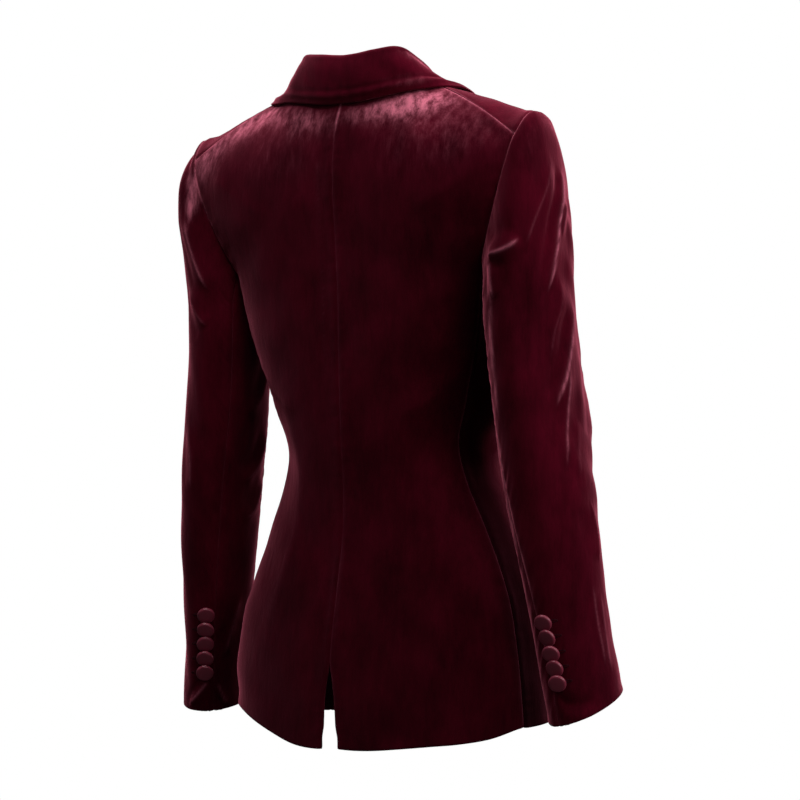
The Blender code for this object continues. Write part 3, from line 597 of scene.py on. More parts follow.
def figure(angle, height):
    """Point of the figure: angle in degrees from the centre back round the side to the centre front."""
    table = np.array(BODY, float)
    half, back, front, full = np.moveaxis(smooth(table[:, 0], table[:, 1:], height), -1, 0)
    middle = back - WIDEST * (back - front)
    turn = np.radians(angle)
    sine, cosine = np.sin(turn), np.cos(turn)
    depth = np.where(cosine > 0, back - middle, middle - front)
    radius = (np.abs(sine / half) ** full + np.abs(cosine / depth) ** full) ** (-1 / full)
    return vec(radius * sine, middle + radius * cosine, height)


def figure_heading(angle, height):
    """Direction in plan, in degrees, in which the figure runs on from an angle."""
    step = figure(angle + 0.5, height) - figure(angle - 0.5, height)
    return np.degrees(np.arctan2(step[..., 1], step[..., 0]))


def run(heading, length, rise):
    """Row direction from a plan heading, a length and a rise per length."""
    turn = np.radians(heading)
    return vec(length * np.cos(turn), length * np.sin(turn), length * rise)


def armhole_points():
    """Closed armhole, sampled so that its panels and the sleeve share every point."""
    names = [row[0] for row in ARMHOLE]
    points = np.array([row[1:] for row in ARMHOLE], float)
    closed = np.vstack([points[-3:], points, points[:3]])
    knots = np.concatenate([[0.0], np.cumsum(np.linalg.norm(np.diff(closed, axis=0), axis=1) ** 0.75)])
    marks = {name: knots[3 + i] for i, name in enumerate(names)}
    end = knots[3 + len(names)]
    spans = (
        (marks["back notch"], marks["shoulder seam"], BACK_ARM_ROWS),
        (marks["shoulder seam"], marks["front notch"], FRONT_ARM_ROWS),
        (marks["front notch"], end, UNDERARM_STEPS),
    )
    parts = []
    for first, last, steps in spans:
        fine = np.linspace(first, last, 200)
        line = smooth(knots, closed, fine)
        length = reach(line, 0)
        at = np.interp(np.linspace(0, length[-1], steps + 1), length, fine)
        parts.append(smooth(knots, closed, at)[:-1])
    return np.vstack(parts)


RING = armhole_points()
TIP = RING[BACK_ARM_ROWS]
BACK_NOTCH = RING[0]
FRONT_NOTCH = RING[FRONT_SEAM]


def ring_point(index):
    """Armhole point at a place between its shared points."""
    count = len(RING)
    turns = np.arange(-3, count + 4)
    return smooth(turns, RING[turns % count], index)


def hem_height(angle, side):
    """Height of the hem at an angle, on the left or the right."""
    rise = column(HEM, 1 if side == LEFT else 2)
    return HEM_LEVEL + smooth(column(HEM, 0), rise, angle)


def side_seam(row, which, side):
    """Point and heading of the back (1) or front (2) side seam at a row, from the hem to the notch."""
    notch = BACK_NOTCH if which == 1 else FRONT_NOTCH
    share = np.clip(row / LOWER_ROWS, 0.0, 1.0)
    low = hem_height(np.asarray(SIDE_SEAMS[0][which]), side)
    height = low + (notch[2] - low) * share
    angle = smooth(column(SIDE_SEAMS, 0), column(SIDE_SEAMS, which), height)
    top_angle = smooth(column(SIDE_SEAMS, 0), column(SIDE_SEAMS, which), notch[2])
    miss = notch - figure(top_angle, notch[2])
    point = figure(angle, height) + miss * ease((share - SEAM_MEETS) / (1 - SEAM_MEETS))[..., None]
    return point, figure_heading(angle, height)


def back_panel(row, across, side):
    """Back cloth: rows fan from the centre back to the side seam, the armhole and the shoulder seam."""
    knots = (0.0, LOWER_ROWS, LOWER_ROWS + BACK_ARM_ROWS, BACK_ROWS)
    height = np.interp(row, knots, BACK_HEIGHTS)
    gap = np.interp(height, column(VENT, 0), column(VENT, 1))
    table = np.array(BODY, float)
    start = vec(gap, smooth(table[:, 0], table[:, 2], height), height)
    seam, seam_heading = side_seam(row, 1, side)
    arm_edge = ring_point(np.clip(row - LOWER_ROWS, 0, BACK_ARM_ROWS))
    share = np.clip((row - knots[2]) / SHOULDER_ROWS, 0.0, 1.0)[..., None]
    shoulder = TIP + (np.array(NECK_SIDE) - TIP) * share
    shoulder[..., 2] += SHOULDER_BOW[side] * 4.0 * (share * (1.0 - share))[..., 0]
    row3 = row[..., None]
    end = np.where(row3 < knots[1], seam, np.where(row3 < knots[2], arm_edge, shoulder))
    yoke_row = row - LOWER_ROWS
    join = ease((row - LOWER_ROWS + JOIN_ROWS) / JOIN_ROWS)
    notch = side_seam(np.asarray(float(LOWER_ROWS)), 1, side)[1]
    lower = seam_heading + (YOKE[0][1] - notch) * join
    heading = np.where(row < knots[1], lower, smooth(column(YOKE, 0), column(YOKE, 1), yoke_row))
    rise = np.where(row < knots[1], 0.0, smooth(column(YOKE, 0), column(YOKE, 2), yoke_row))
    length = ARC_PULL * np.linalg.norm(end - start, axis=-1)
    cloth = hermite(start, run(0.0 * row, length, 0.0), end, run(heading, length, rise), across)
    corner = hem_height(np.asarray(SIDE_SEAMS[0][1]), side)
    bow = hem_height(SIDE_SEAMS[0][1] * across, side) - HEM_LEVEL - (corner - HEM_LEVEL) * across
    cloth[..., 2] += bow * np.clip(1 - row / LOWER_ROWS, 0, 1) ** 2
    return cloth


def side_panel(row, across, side):
    """Side cloth between the two side seams, its top edge drawn down to the underarm."""

    def level(at):
        start, first = side_seam(at, 1, side)
        end, last = side_seam(at, 2, side)
        length = ARC_PULL * np.linalg.norm(end - start, axis=-1)
        return hermite(start, run(first, length, 0.0), end, run(last, length, 0.0), across)

    edge = ring_point(len(RING) - UNDERARM_STEPS * across)
    drawn = ease((row / LOWER_ROWS - UNDERARM_FROM) / (1 - UNDERARM_FROM))[..., None]
    return level(row) + (edge - level(np.full_like(across, float(LOWER_ROWS)))) * drawn


def front_panel(row, across, side):
    """Front cloth: rows run from the front edge and roll line to the side seam, armhole and shoulder."""
    rows = column(FRONT_EDGE, 0)
    start = smooth(rows, np.array(FRONT_EDGE)[:, 1:4], row)
    first = smooth(rows, column(FRONT_EDGE, 4), row)
    seam, seam_heading = side_seam(row, 2, side)
    arm_edge = ring_point(FRONT_SEAM - np.clip(row - LOWER_ROWS, 0, FRONT_ARM_ROWS))
    end = np.where(row[..., None] < LOWER_ROWS, seam, arm_edge)
    join = ease((row - LOWER_ROWS + JOIN_ROWS) / JOIN_ROWS)
    notch = side_seam(np.asarray(float(LOWER_ROWS)), 2, side)[1] + 180.0
    lower = seam_heading + 180.0 + (FRONT_ARM[0][1] - notch) * join
    heading = np.where(row < LOWER_ROWS, lower, smooth(column(FRONT_ARM, 0), column(FRONT_ARM, 1), row))
    length = ARC_PULL * np.linalg.norm(end - start, axis=-1)
    slope = (end - start)[..., 2] / np.maximum(length, 0.001)
    slope = slope * ease((row - SLOPE_FROM_ROW) / SLOPE_ROWS)
    cloth = hermite(start, run(first, length, slope), end, run(heading, length, slope), across)
    bow = 4.0 * across * (1.0 - across) * ease((row - SLOPE_FROM_ROW) / BOW_ROWS)
    cloth[..., 2] += SHOULDER_BOW[side] * bow
    if side == RIGHT:
        fade = 1.0 - ease((row - LAP_ROWS[0]) / (LAP_ROWS[1] - LAP_ROWS[0]))
        cloth[..., 1] -= LAP_LIFT * fade * ease((LAP_FROM - cloth[..., 0]) / (LAP_FROM - LAP_FULL))
    return cloth


def outward(panel, row, across, side):
    """Outward unit normals of a panel, from its own small differences."""
    step = NORMAL_STEP
    along = panel(row + step, across, side) - panel(row - step, across, side)
    over = panel(row, across + step, side) - panel(row, across - step, side)
    return unit(np.cross(over, along) if panel is front_panel else np.cross(along, over))


def lapel_place(length, width):
    """Row and share of the row on the front panel for a place on the lapel."""
    top = LAPEL_TOP_ROW_ROLL + (LAPEL_TOP_ROW_TIP - LAPEL_TOP_ROW_ROLL) * width
    row = LAPEL_FIRST_ROW + (top - LAPEL_FIRST_ROW) * length
    return row, width * smooth(column(LAPEL, 0), column(LAPEL, 1), length)


def lapel(length, width, side, stand):
    """Lapel: the front's own points moved out; below width 0 it rolls round the front's edge."""
    turn = np.pi * (1.0 + np.clip(width, -1.0, 0.0))
    row, across = lapel_place(length, np.maximum(width, 0.0))
    out = outward(front_panel, row, across, side)
    base = front_panel(row, across, side)
    over = unit(front_panel(row, across + NORMAL_STEP, side) - base)
    lift = 0.5 * stand * (1.0 - np.cos(turn))
    bulge = 0.5 * stand * np.sin(turn)
    return base + out * lift[..., None] - over * bulge[..., None]


def collar_half(along, down, wall, side):
    """Half collar: along from the centre back to its end, down 0 to 1 stand, 1 to 2 roll, 2 to 3 fall."""
    shares = column(COLLAR, 0)
    line = along[0]
    roll = smooth(shares, np.array(COLLAR)[:, 1:4], line)
    bulge = smooth(shares, column(COLLAR, 4), line)[:, None]
    lift = COLLAR_LIE + wall + smooth(shares, column(COLLAR, 5), line)[:, None]
    rows = column(COLLAR, 6 if side == LEFT else 7)
    back_row = smooth(shares, rows, line)
    on_back = np.clip(line / COLLAR_SEAM_SHARE, 0, 1)
    seam_across = (BACK_ROWS - rows[3]) / SHOULDER_ROWS
    ahead = np.clip((line - COLLAR_SEAM_SHARE) / (1 - COLLAR_SEAM_SHARE), 0, 1)
    foot_row = FRONT_ROWS + (COLLAR_FOOT_ROW_END - FRONT_ROWS) * ahead
    edge_row = FRONT_ROWS + (COLLAR_FALL_ROW_END - FRONT_ROWS) * ahead
    edge_across = seam_across + (COLLAR_FALL_ACROSS_END - seam_across) * ahead
    past_seam = line - COLLAR_SEAM_SHARE + COLLAR_BLEND
    behind = 1.0 - ease(past_seam / (2 * COLLAR_BLEND))[:, None]

    def laid(row, across, height):
        return front_panel(row, across, side) + height * outward(front_panel, row, across, side)

    back_edge = back_panel(back_row, on_back, side) + lift * outward(back_panel, back_row, on_back, side)
    front_edge = laid(edge_row, edge_across, lift)
    edge = front_edge + (back_edge - front_edge) * behind
    foot_back = back_panel(np.full_like(line, BACK_ROWS), on_back, side)
    foot_front = laid(foot_row, np.zeros_like(line), 0.0)
    up = np.array((0.0, 0.0, 1.0))
    foot = foot_front + (foot_back - foot_front) * behind + COLLAR_FOOT_LIFT * up
    out = edge - roll
    out[:, 2] = 0.0
    out = unit(out)
    inner, outer = roll - out * COLLAR_ROLL, roll + out * COLLAR_ROLL
    knee = 0.5 * (outer + edge) + out * bulge
    middle = laid(0.5 * (foot_row + edge_row), 0.5 * edge_across, lift + bulge)
    over = 2.0 * middle - 0.5 * (outer + edge)
    knee = knee + (over - knee) * ease(past_seam / COLLAR_KNEE_BLEND)[:, None]
    down = down[..., None]
    rise = np.clip(down, 0, 1)
    turn = np.pi * np.clip(down - 1, 0, 1)
    drop = np.clip(down - 2, 0, 1)
    stand = foot + (inner - foot) * rise
    bend = roll + COLLAR_ROLL * (-np.cos(turn) * out + np.sin(turn) * up)
    fall = (1 - drop) ** 2 * outer + 2 * drop * (1 - drop) * knee + drop ** 2 * edge
    return np.where(down < 1, stand, np.where(down < 2, bend, fall))


def ring_angle(index):
    """Angle round the sleeve, from the outside through the back, of each armhole point."""
    count = len(RING)
    going = reach(np.vstack([RING, RING[:1]]), 0)
    top, low = going[SLEEVE_TOP], going[count - UNDERARM_STEPS // 2]
    total = going[-1]
    ahead = -180.0 * (going - top) / (low - top)
    behind = 180.0 * (top - going) / (total - low + top)
    past = -180.0 - 180.0 * (going - low) / (total - low + top)
    angle = np.where(going < top, behind, np.where(going <= low, ahead, past))
    return smooth(np.arange(count + 1.0), angle, index)


def arm(share, index, side):
    """Sleeve below the cap: ovals down a bent arm, at a share of its length and a place round it."""
    table = np.array(SLEEVE, float)
    knots = reach(table[:, :3], 0)
    at = share * knots[-1]
    section = smooth(knots, table, at)
    axis = smooth(knots, table[:, :3], at + 0.002) - smooth(knots, table[:, :3], at - 0.002)
    lean = np.radians(CUFF_TILT[side]) * ease((share - CUFF_TILT_FROM) / (1 - CUFF_TILT_FROM))
    turn = np.radians(ring_angle(index) - SLEEVE_TWIST[side] * ease(share))
    wide = section[..., 3] * np.cos(turn)
    deep = section[..., 4] * np.sin(turn)
    out_turn = math.radians(SLEEVE_TURN)
    across = wide * math.cos(out_turn) - deep * math.sin(out_turn)
    fore = wide * math.sin(out_turn) + deep * math.cos(out_turn)
    level = -(axis[..., 0] * across + axis[..., 1] * fore) / axis[..., 2] - fore * np.tan(lean)
    return section[..., :3] + vec(across, fore, level)


def sleeve(row, index, side):
    """Sleeve from the armhole, out and over its cap, and down the arm to the cuff."""
    start = ring_point(index) + np.array((SLEEVE_START, 0.0, 0.0))
    radial = unit(start - RING.mean(axis=0))
    bicep = arm(np.zeros_like(row), index, side)
    below = arm(np.full_like(row, 0.02), index, side) - bicep
    span = np.linalg.norm(bicep - start, axis=-1, keepdims=True)
    leave = (np.array(SLEEVE_OUTWARD) + SLEEVE_SWELL * radial) * span * SLEEVE_PULL
    arrive = unit(below) * span * SLEEVE_DROP
    cap = hermite(start, leave, bicep, arrive, np.clip(row / CAP_ROWS, 0, 1))
    tube = arm(np.clip((row - CAP_ROWS) / ARM_ROWS, 0, 1), index, side)
    return np.where(row[..., None] < CAP_ROWS, cap, tube)


def stations(line, cell, first, last, dense):
    """Places from 0 to 1 along a line: wide steps, closer beside a sewn or hemmed end and in a dense span."""
    share = np.linspace(0, 1, len(line))
    length = reach(line, 0)
    size = np.full(len(line), cell)
    if first:
        size = np.minimum(size, EDGE_STEP + STEP_GROWTH * length)
    if last:
        size = np.minimum(size, EDGE_STEP + STEP_GROWTH * (length[-1] - length))
    if dense:
        outside = np.maximum(np.maximum(dense[0] - share, share - dense[1]), 0.0) * length[-1]
        size = np.minimum(size, dense[2] + STEP_GROWTH * outside)
    count = np.concatenate([[0.0], np.cumsum(np.diff(length) / (0.5 * (size[1:] + size[:-1])))])
    return np.interp(np.linspace(0, count[-1], int(round(count[-1])) + 1), count, share)


def grid_normals(points, facing):
    """Unit normals of a grid of points, from central differences along its rows and columns."""
    return unit(facing * np.cross(np.gradient(points, axis=1), np.gradient(points, axis=0)))


def settle(points, rounds, free):
    """Points drawn halfway to the mean of their neighbours along the columns, by the share that is free."""
    points = points.copy()
    inner = free[1:-1, :, None]
    for _ in range(rounds):
        mean = 0.5 * (points[2:] + points[:-2])
        points[1:-1] += 0.5 * inner * (mean - points[1:-1])
    return points


def ripple(over, along, seed, shortest, longest):
    """Uneven swell: a sum of seeded sine waves of several lengths and headings, about -1 to 1."""
    dice = np.random.default_rng(seed)
    heading = dice.uniform(0, np.pi, WAVES)
    length = np.geomspace(shortest, longest, WAVES)
    phase = dice.uniform(0, 2 * np.pi, WAVES)
    turn = (over[..., None] * np.cos(heading) + along[..., None] * np.sin(heading)) / length
    return np.sin(2 * np.pi * turn + phase).sum(axis=-1) / (0.5 * WAVES)


def bump(distance, half_width):
    """Bell of height one at distance 0."""
    return np.exp(-(distance / half_width) ** 2)


def crease(points, normal, line, width, height, skew):
    """Fold along a line: a ridge with troughs beside it, fading at both ends; and the painted highlight of its
    crest, partly crushed pile.
    """
    along = unit(np.gradient(line, axis=0))
    away = points[..., None, :] - line
    gap = (away ** 2).sum(axis=-1)
    near = gap.argmin(axis=-1)
    offset = np.take_along_axis(away, near[..., None, None], axis=-2)[..., 0, :]
    side = np.sign((np.cross(along[near], offset) * normal).sum(axis=-1))
    distance = np.sqrt(gap.min(axis=-1))
    across = side * distance / width
    across = across / (1 + skew * np.tanh(3 * across))
    shown = ease(np.minimum(near, len(line) - 1 - near) / (CREASE_FADE * len(line)))
    ridge = 0.68 * bump(across, 1.0) + 0.32 * bump(across, 0.32)
    ridge = ridge - 0.45 * bump(across + 2.0, 1.0) - 0.18 * bump(across - 2.4, 1.0)
    # Painted highlight along the crest, stronger on high, narrow creases
    narrow = ease((PRESSED_WIDTHS[1] - width) / (PRESSED_WIDTHS[1] - PRESSED_WIDTHS[0]))
    sharp = np.clip(height / PRESSED_HEIGHT, 0, 1) * narrow
    crest_highlight = 0.78 * bump(distance, LINE_HALF_WIDTH) + 0.20 * bump(distance, GLOW_HALF_WIDTH)
    return height * shown * ridge, sharp * shown * crest_highlight


def seam_ridge(distance, height):
    """Cloth turned in at a seam: level at the seam, a low ridge a few millimetres off, then flat."""
    return height * (1 - bump(distance, SEAM_DIP)) * bump(distance, SEAM_REACH)


class Cloth:
    """One cut piece of cloth: a grid of points on its form, raised by seams, creases and swell."""

    def __init__(self, surface, row_at, place_at, side, facing):
        """Grid of a surface at the given rows and places."""
        self.surface, self.side = surface, side
        self.row, self.place = np.meshgrid(row_at, place_at, indexing="ij")
        self.facing = facing * side
        self.take(self.mirrored(surface(self.row, self.place, side)))

    def mirrored(self, points):
        """Points of the wearer's left, turned to the piece's own side."""
        return points * np.array((self.side, 1, 1))

    def take(self, points):
        """Base form of the cloth, with distances from its four edges."""
        self.base = points
        self.across, self.along = reach(points, 1), reach(points, 0)
        self.first = self.across
        self.last = self.across[:, -1:] - self.across
        self.low = self.along
        self.high = self.along[-1:] - self.along
        self.normal = grid_normals(points, self.facing)
        self.height = np.zeros(points.shape[:2])
        self.crush = np.zeros(points.shape[:2])
        self.painted_light_and_shade = np.zeros(points.shape[:2])

    def ease_rows(self, rounds, margin):
        """Kinks between groups of rows are smoothed away, with the side edges held."""
        free = ease(np.minimum(self.first, self.last) / margin)
        self.take(settle(self.base, rounds, free))

    def draw_back(self, edges, amount):
        """Sewn edges drawn back so that their rounded rims just meet those of the neighbours."""
        points = self.base.copy()
        if "first" in edges:
            points[:, 0] += amount * unit(points[:, 1] - points[:, 0])
        if "last" in edges:
            points[:, -1] += amount * unit(points[:, -2] - points[:, -1])
        if "low" in edges:
            points[0] += amount * unit(points[1] - points[0])
        if "high" in edges:
            points[-1] += amount * unit(points[-2] - points[-1])
        self.take(points)

    def sew(self, edge, height, pucker, seed, pale=0.35, highlight_reach=0.0013):
        """Ridge beside a seam, with small uneven puckers along it and a painted highlight along its edge."""
        distance = getattr(self, edge)
        going = self.along if edge in ("first", "last") else self.across
        uneven = ripple(going, 0.3 * distance, seed, *PUCKER_LENGTHS)
        self.height += seam_ridge(distance, height) * (1 + 0.35 * uneven)
        self.height += pucker * uneven * (1 - bump(distance, PUCKER_DIP)) * np.exp(-distance / PUCKER_REACH)
        self.crush += pale * bump(distance, highlight_reach) * np.clip(0.85 + 0.3 * uneven, 0, 1.3)

    def fold(self, table, strength, edges):
        """Main creases of the piece, each placed one by one, flattened where they run into a sewn edge."""
        free = np.ones(self.height.shape)
        for edge in edges:
            free = free * ease(getattr(self, edge) / SEWN_HOLD + 0.02)
        for places, width, height, skew in table:
            knots = np.linspace(0, 1, len(places))
            at = smooth(knots, np.array(places), np.linspace(0, 1, CREASE_STEPS))
            inside = (at[:, 1] >= self.place.min() - 0.01) & (at[:, 1] <= self.place.max() + 0.01)
            if not inside.all():
                continue
            line = self.mirrored(self.surface(at[:, 0], at[:, 1], self.side))
            raised, crushed = crease(self.base, self.normal, line, width, strength * height, skew)
            self.height += free * raised
            # Painted highlight along the crease's crest
            self.crush += crushed

    def zone(self, row, place, tall, wide):
        """Soft oval zone of height one round a row and a place."""
        return np.exp(-((self.row - row) / tall) ** 2 - ((self.place - place) / wide) ** 2)

    def press(self, zones):
        """Broad zones that lie lower or higher than the plain form."""
        for *oval, height in zones:
            self.height += height * self.zone(*oval) * ease(self.low / PRESS_HOLD)

    def brush(self, zones):
        """Zones of painted highlight, or of painted shade where the strength is below 0."""
        for *oval, strength in zones:
            self.painted_light_and_shade += strength * self.zone(*oval)

    def swell(self, amount, seed, shortest=0.045, longest=0.13):
        """Low uneven swell of hanging cloth, still at the sewn edges and less at the others."""
        still = ease(np.minimum(self.first, self.last) / 0.020)
        still = still * ease(np.minimum(self.low, self.high) / 0.012 + 0.25)
        self.height += amount * still * ripple(self.across, self.along, seed, shortest, longest)

    def flat(self):
        """Width, length and area of the cloth laid flat."""
        over = np.diff(self.base, axis=1)[:-1]
        down = np.diff(self.base, axis=0)[:, :-1]
        area = np.linalg.norm(np.cross(over, down), axis=-1).sum()
        return float(self.across[:, -1].max()), float(self.along[-1].max()), float(area)

    def shell(self, name, wall):
        """Closed thin shell: outer face, inner face and a half-round rim along the whole edge."""
        points = self.base + self.normal * self.height[..., None]
        normal = grid_normals(points, self.facing)
        wall = np.broadcast_to(np.asarray(wall, float), self.height.shape)
        rows, columns = self.height.shape
        count = rows * columns
        outer = points.reshape(-1, 3)
        inner = (points - normal * wall[..., None]).reshape(-1, 3)
        index = np.arange(count).reshape(rows, columns)
        corners = (index[:-1, :-1], index[:-1, 1:], index[1:, 1:], index[1:, :-1])
        face = np.stack(corners, axis=-1).reshape(-1, 4)
        loop = np.concatenate([index[0, :-1], index[:-1, -1], index[-1, :0:-1], index[:0:-1, 0]])
        middle, half = 0.5 * (outer + inner)[loop], 0.5 * (outer - inner)[loop]
        ahead = np.roll(middle, -1, axis=0) - np.roll(middle, 1, axis=0)
        out = self.facing * unit(np.cross(ahead, half)) * np.linalg.norm(half, axis=1, keepdims=True)
        turns = np.linspace(0, np.pi, RIM_STEPS + 2)[1:-1, None, None]
        rings = (middle + half * np.cos(turns) + out * np.sin(turns)).reshape(-1, 3)
        ring_index = 2 * count + np.arange(RIM_STEPS * len(loop)).reshape(RIM_STEPS, len(loop))
        order = np.vstack([loop, ring_index, count + loop])
        after = np.roll(order, -1, axis=1)
        rim = np.stack([order[:-1], order[1:], after[1:], after[:-1]], axis=-1).reshape(-1, 4)
        faces = np.vstack([face, face[:, ::-1] + count, rim])
        if self.facing < 0:
            faces = faces[:, ::-1]
        uv = np.stack([self.across - 0.5 * self.across[:, -1:], self.along], axis=-1).reshape(-1, 2)
        uv = np.vstack([uv, uv, np.tile(uv[loop], (RIM_STEPS, 1))])
        # Painted highlight and painted shade marks, kept with each point for the velvet's colour
        pile = np.stack([np.clip(self.crush, 0, 1), np.clip(self.painted_light_and_shade, -1, 1)], axis=-1).reshape(-1, 2)
        pile = np.vstack([pile, pile, np.tile(pile[loop], (RIM_STEPS, 1))])
        kind = np.zeros(len(faces), np.int32)
        kind[len(face):2 * len(face)] = 1
        return make_mesh(name, np.vstack([outer, inner, rings]), faces, uv, pile, kind)


def cut(surface, rows, places, side, facing, cell, close, dense=None):
    """Cloth of a surface between two rows and two places; close and dense say where its grid is narrow."""
    fine = np.linspace(0, 1, 600)
    middle = np.full_like(fine, 0.5 * (places[0] + places[1]))
    halfway = np.full_like(fine, rows[0] + 0.45 * (rows[1] - rows[0]))
    row_line = surface(rows[0] + (rows[1] - rows[0]) * fine, middle, side)
    place_line = surface(halfway, places[0] + (places[1] - places[0]) * fine, side)
    row_at = rows[0] + (rows[1] - rows[0]) * stations(row_line, cell, close[0], close[1], None)
    place_at = places[0] + (places[1] - places[0]) * stations(place_line, cell, close[2], close[3], dense)
    return Cloth(surface, row_at, place_at, side, facing)


def make_mesh(name, points, faces, uv=None, pile=None, kind=None):
    """Object at the origin from arrays of points, four-cornered faces, UVs in metres, marks of painted
    highlight and shade, and face kinds.
    """
    plain = np.zeros((len(points), 2))
    uv = plain if uv is None else uv
    pile = plain if pile is None else pile
    kind = np.zeros(len(faces), np.int32) if kind is None else kind
    mesh = bpy.data.meshes.new(name)
    mesh.from_pydata(points, [], faces)
    mesh.polygons.foreach_set("use_smooth", np.ones(len(faces), bool))
    mesh.polygons.foreach_set("material_index", kind)
    layer = mesh.uv_layers.new(name="cloth")
    corner = np.empty(len(mesh.loops), np.int32)
    mesh.loops.foreach_get("vertex_index", corner)
    layer.data.foreach_set("uv", np.asarray(uv, np.float32)[corner].ravel())
    # Point attributes: painted highlight along crests and seams, and painted light and shade zones
    for number, word in enumerate(("crush", "painted_light_and_shade")):
        turned = mesh.attributes.new(word, "FLOAT", "POINT")
        turned.data.foreach_set("value", np.ascontiguousarray(pile[:, number], np.float32))
    mesh.update()
    piece = bpy.data.objects.new(name, mesh)
    bpy.context.scene.collection.objects.link(piece)
    return piece


class Term:
    """Socket of a material's nodes; arithmetic on it adds Math nodes."""

    def __init__(self, tree, socket=None):
        self.tree, self.socket = tree, socket

    def node(self, kind, settings=(), output=0, **values):
        """Output of a new node: its settings first, then its sockets, by name or as i and a number."""
        made = self.tree.nodes.new(kind)
        for name, value in dict(settings).items():
            setattr(made, name, value)
        for name, value in values.items():
            numbered = name[0] == "i" and name[1:].isdigit()
            place = made.inputs[int(name[1:]) if numbered else name.replace("_", " ")]
            if isinstance(value, Term):
                self.tree.links.new(value.socket, place)
            else:
                place.default_value = value
        return Term(self.tree, made.outputs[output])

    def maths(self, operation, first, second):
        """Math node on two values or sockets."""
        return self.node("ShaderNodeMath", {"operation": operation}, i0=first, i1=second)

    def __add__(self, other):
        return self.maths("ADD", self, other)

    def __radd__(self, other):
        return self.maths("ADD", other, self)

    def __sub__(self, other):
        return self.maths("SUBTRACT", self, other)

    def __rsub__(self, other):
        return self.maths("SUBTRACT", other, self)

    def __mul__(self, other):
        return self.maths("MULTIPLY", self, other)

    def __rmul__(self, other):
        return self.maths("MULTIPLY", other, self)

    def eased(self):
        """Value kept between 0 and 1, with a soft start and end."""
        settings = {"interpolation_type": "SMOOTHSTEP"}
        return self.node("ShaderNodeMapRange", settings, i0=self, i1=0.0, i2=1.0, i3=0.0, i4=1.0)

    def noise(self, place, size, detail):
        """Noise from 0 to 1 at a place, with the given size of its cells along each axis."""
        scale = tuple(1.0 / length for length in size)
        grain = self.node("ShaderNodeVectorMath", {"operation": "MULTIPLY"}, i0=place, i1=scale)
        settings = {"noise_dimensions": "3D"}
        return self.node("ShaderNodeTexNoise", settings, 0, Vector=grain, Scale=1.0, Detail=detail)

    def blend(self, share, first, second):
        """Colour mixed from two colours."""
        return self.node("ShaderNodeMix", {"data_type": "RGBA"}, 2, i0=share, i6=first, i7=second)


def feed(shader, name, term):
    """Links a term to one of the shader's sockets."""
    term.tree.links.new(term.socket, shader.inputs[name])


def fix(shader, **values):
    """Constant values of the shader's sockets, named with underscores for spaces."""
    for name, value in values.items():
        shader.inputs[name.replace("_", " ")].default_value = value


def opaque(colour):
    """Colour with full alpha."""
    return tuple(colour) + (1.0,)


def material(name, fill, context):
    """Material of a name; the first time that it is asked for, fill sets up its nodes."""
    made = bpy.data.materials.get(name)
    if made is None:
        made = bpy.data.materials.new(name)
        made.use_nodes = True
        shader = made.node_tree.nodes["Principled BSDF"]
        fill(Term(made.node_tree), shader, context.scene.blazer_colours)
    return made


def velvet_pile(root, shader, colours):
    """Pile of the velvet: dark and paler patches, painted shade, and painted highlights along crests, seams
    and zones (partly crushed pile), with a sheen.
    """
    place = root.node("ShaderNodeTexCoord", {}, 3)
    # Marks of painted highlight and of painted light and shade
    crush = root.node("ShaderNodeAttribute", {"attribute_name": "crush"}, 2)
    painted_light_and_shade = root.node("ShaderNodeAttribute", {"attribute_name": "painted_light_and_shade"}, 2)
    streak = root.noise(place, STREAK_CELL, 3.0)
    grain = root.noise(place, GRAIN_CELL, 2.0)
    patch = root.noise(place, PATCH_CELL, 3.0)
    band = root.noise(place, BAND_CELL, 3.0)
    lift = 0.45 + (streak - 0.5) * 0.14 + (grain - 0.5) * 0.16 + (patch - 0.5) * 0.60 + (band - 0.5) * 0.24
    # Painted shade: marks below 0 draw the colour to the dark shade
    lift = (lift * (painted_light_and_shade + 1.0).eased()).eased()
    cloth = root.blend(lift, opaque(colours.shade), opaque(colours.pile))
    # Painted highlight: marks above 0 and the crest and seam marks draw the colour to the pale crushed colour;
    # pressed is its share
    painted_highlight = painted_light_and_shade * (0.58 + (band - 0.5) * 1.1 + (streak - 0.5) * 0.45 + (grain - 0.5) * 0.25)
    pressed = (painted_highlight.eased() + crush * (0.75 + (grain - 0.5) * 0.8)).eased()
    feed(shader, "Base Color", root.blend(pressed, cloth, opaque(colours.crushed)))
    height = streak * 0.25 + grain * 0.20 + patch * 1.6 + band * 0.5
    feed(shader, "Normal", root.node("ShaderNodeBump", {}, 0, Strength=0.5, Distance=0.0012, Height=height))
    fix(shader, Roughness=0.9, Specular_IOR_Level=0.0)
    fix(shader, Sheen_Weight=0.9, Sheen_Roughness=0.35, Sheen_Tint=opaque(colours.sheen))


def velvet_reverse(root, shader, colours):
    """Plain woven back of the velvet: a fine even weave of the dark and the paler colour."""
    place = root.node("ShaderNodeUVMap", {"uv_map": "cloth"})
    weave = root.noise(place, REVERSE_CELL, 1.0)
    feed(shader, "Base Color", root.blend(weave * 0.6, opaque(colours.shade), opaque(colours.pile)))
    fix(shader, Roughness=0.9, Specular_IOR_Level=0.2)


def button_satin(root, shader, colours):
    """Satin that covers the buttons: a fine weave with a soft shine."""
    place = root.node("ShaderNodeUVMap", {"uv_map": "cloth"})
    weave = root.noise(place, SATIN_CELL, 2.0)
    pale = opaque(1.5 * value for value in colours.satin)
    feed(shader, "Base Color", root.blend(weave * 0.5, opaque(colours.satin), pale))
    feed(shader, "Roughness", 0.26 + weave * 0.16)
    feed(shader, "Normal", root.node("ShaderNodeBump", {}, 0, Strength=0.35, Distance=0.0003, Height=weave))
    fix(shader, Specular_IOR_Level=0.5)
    fix(shader, Sheen_Weight=0.15, Sheen_Roughness=0.4, Sheen_Tint=opaque(colours.sheen))


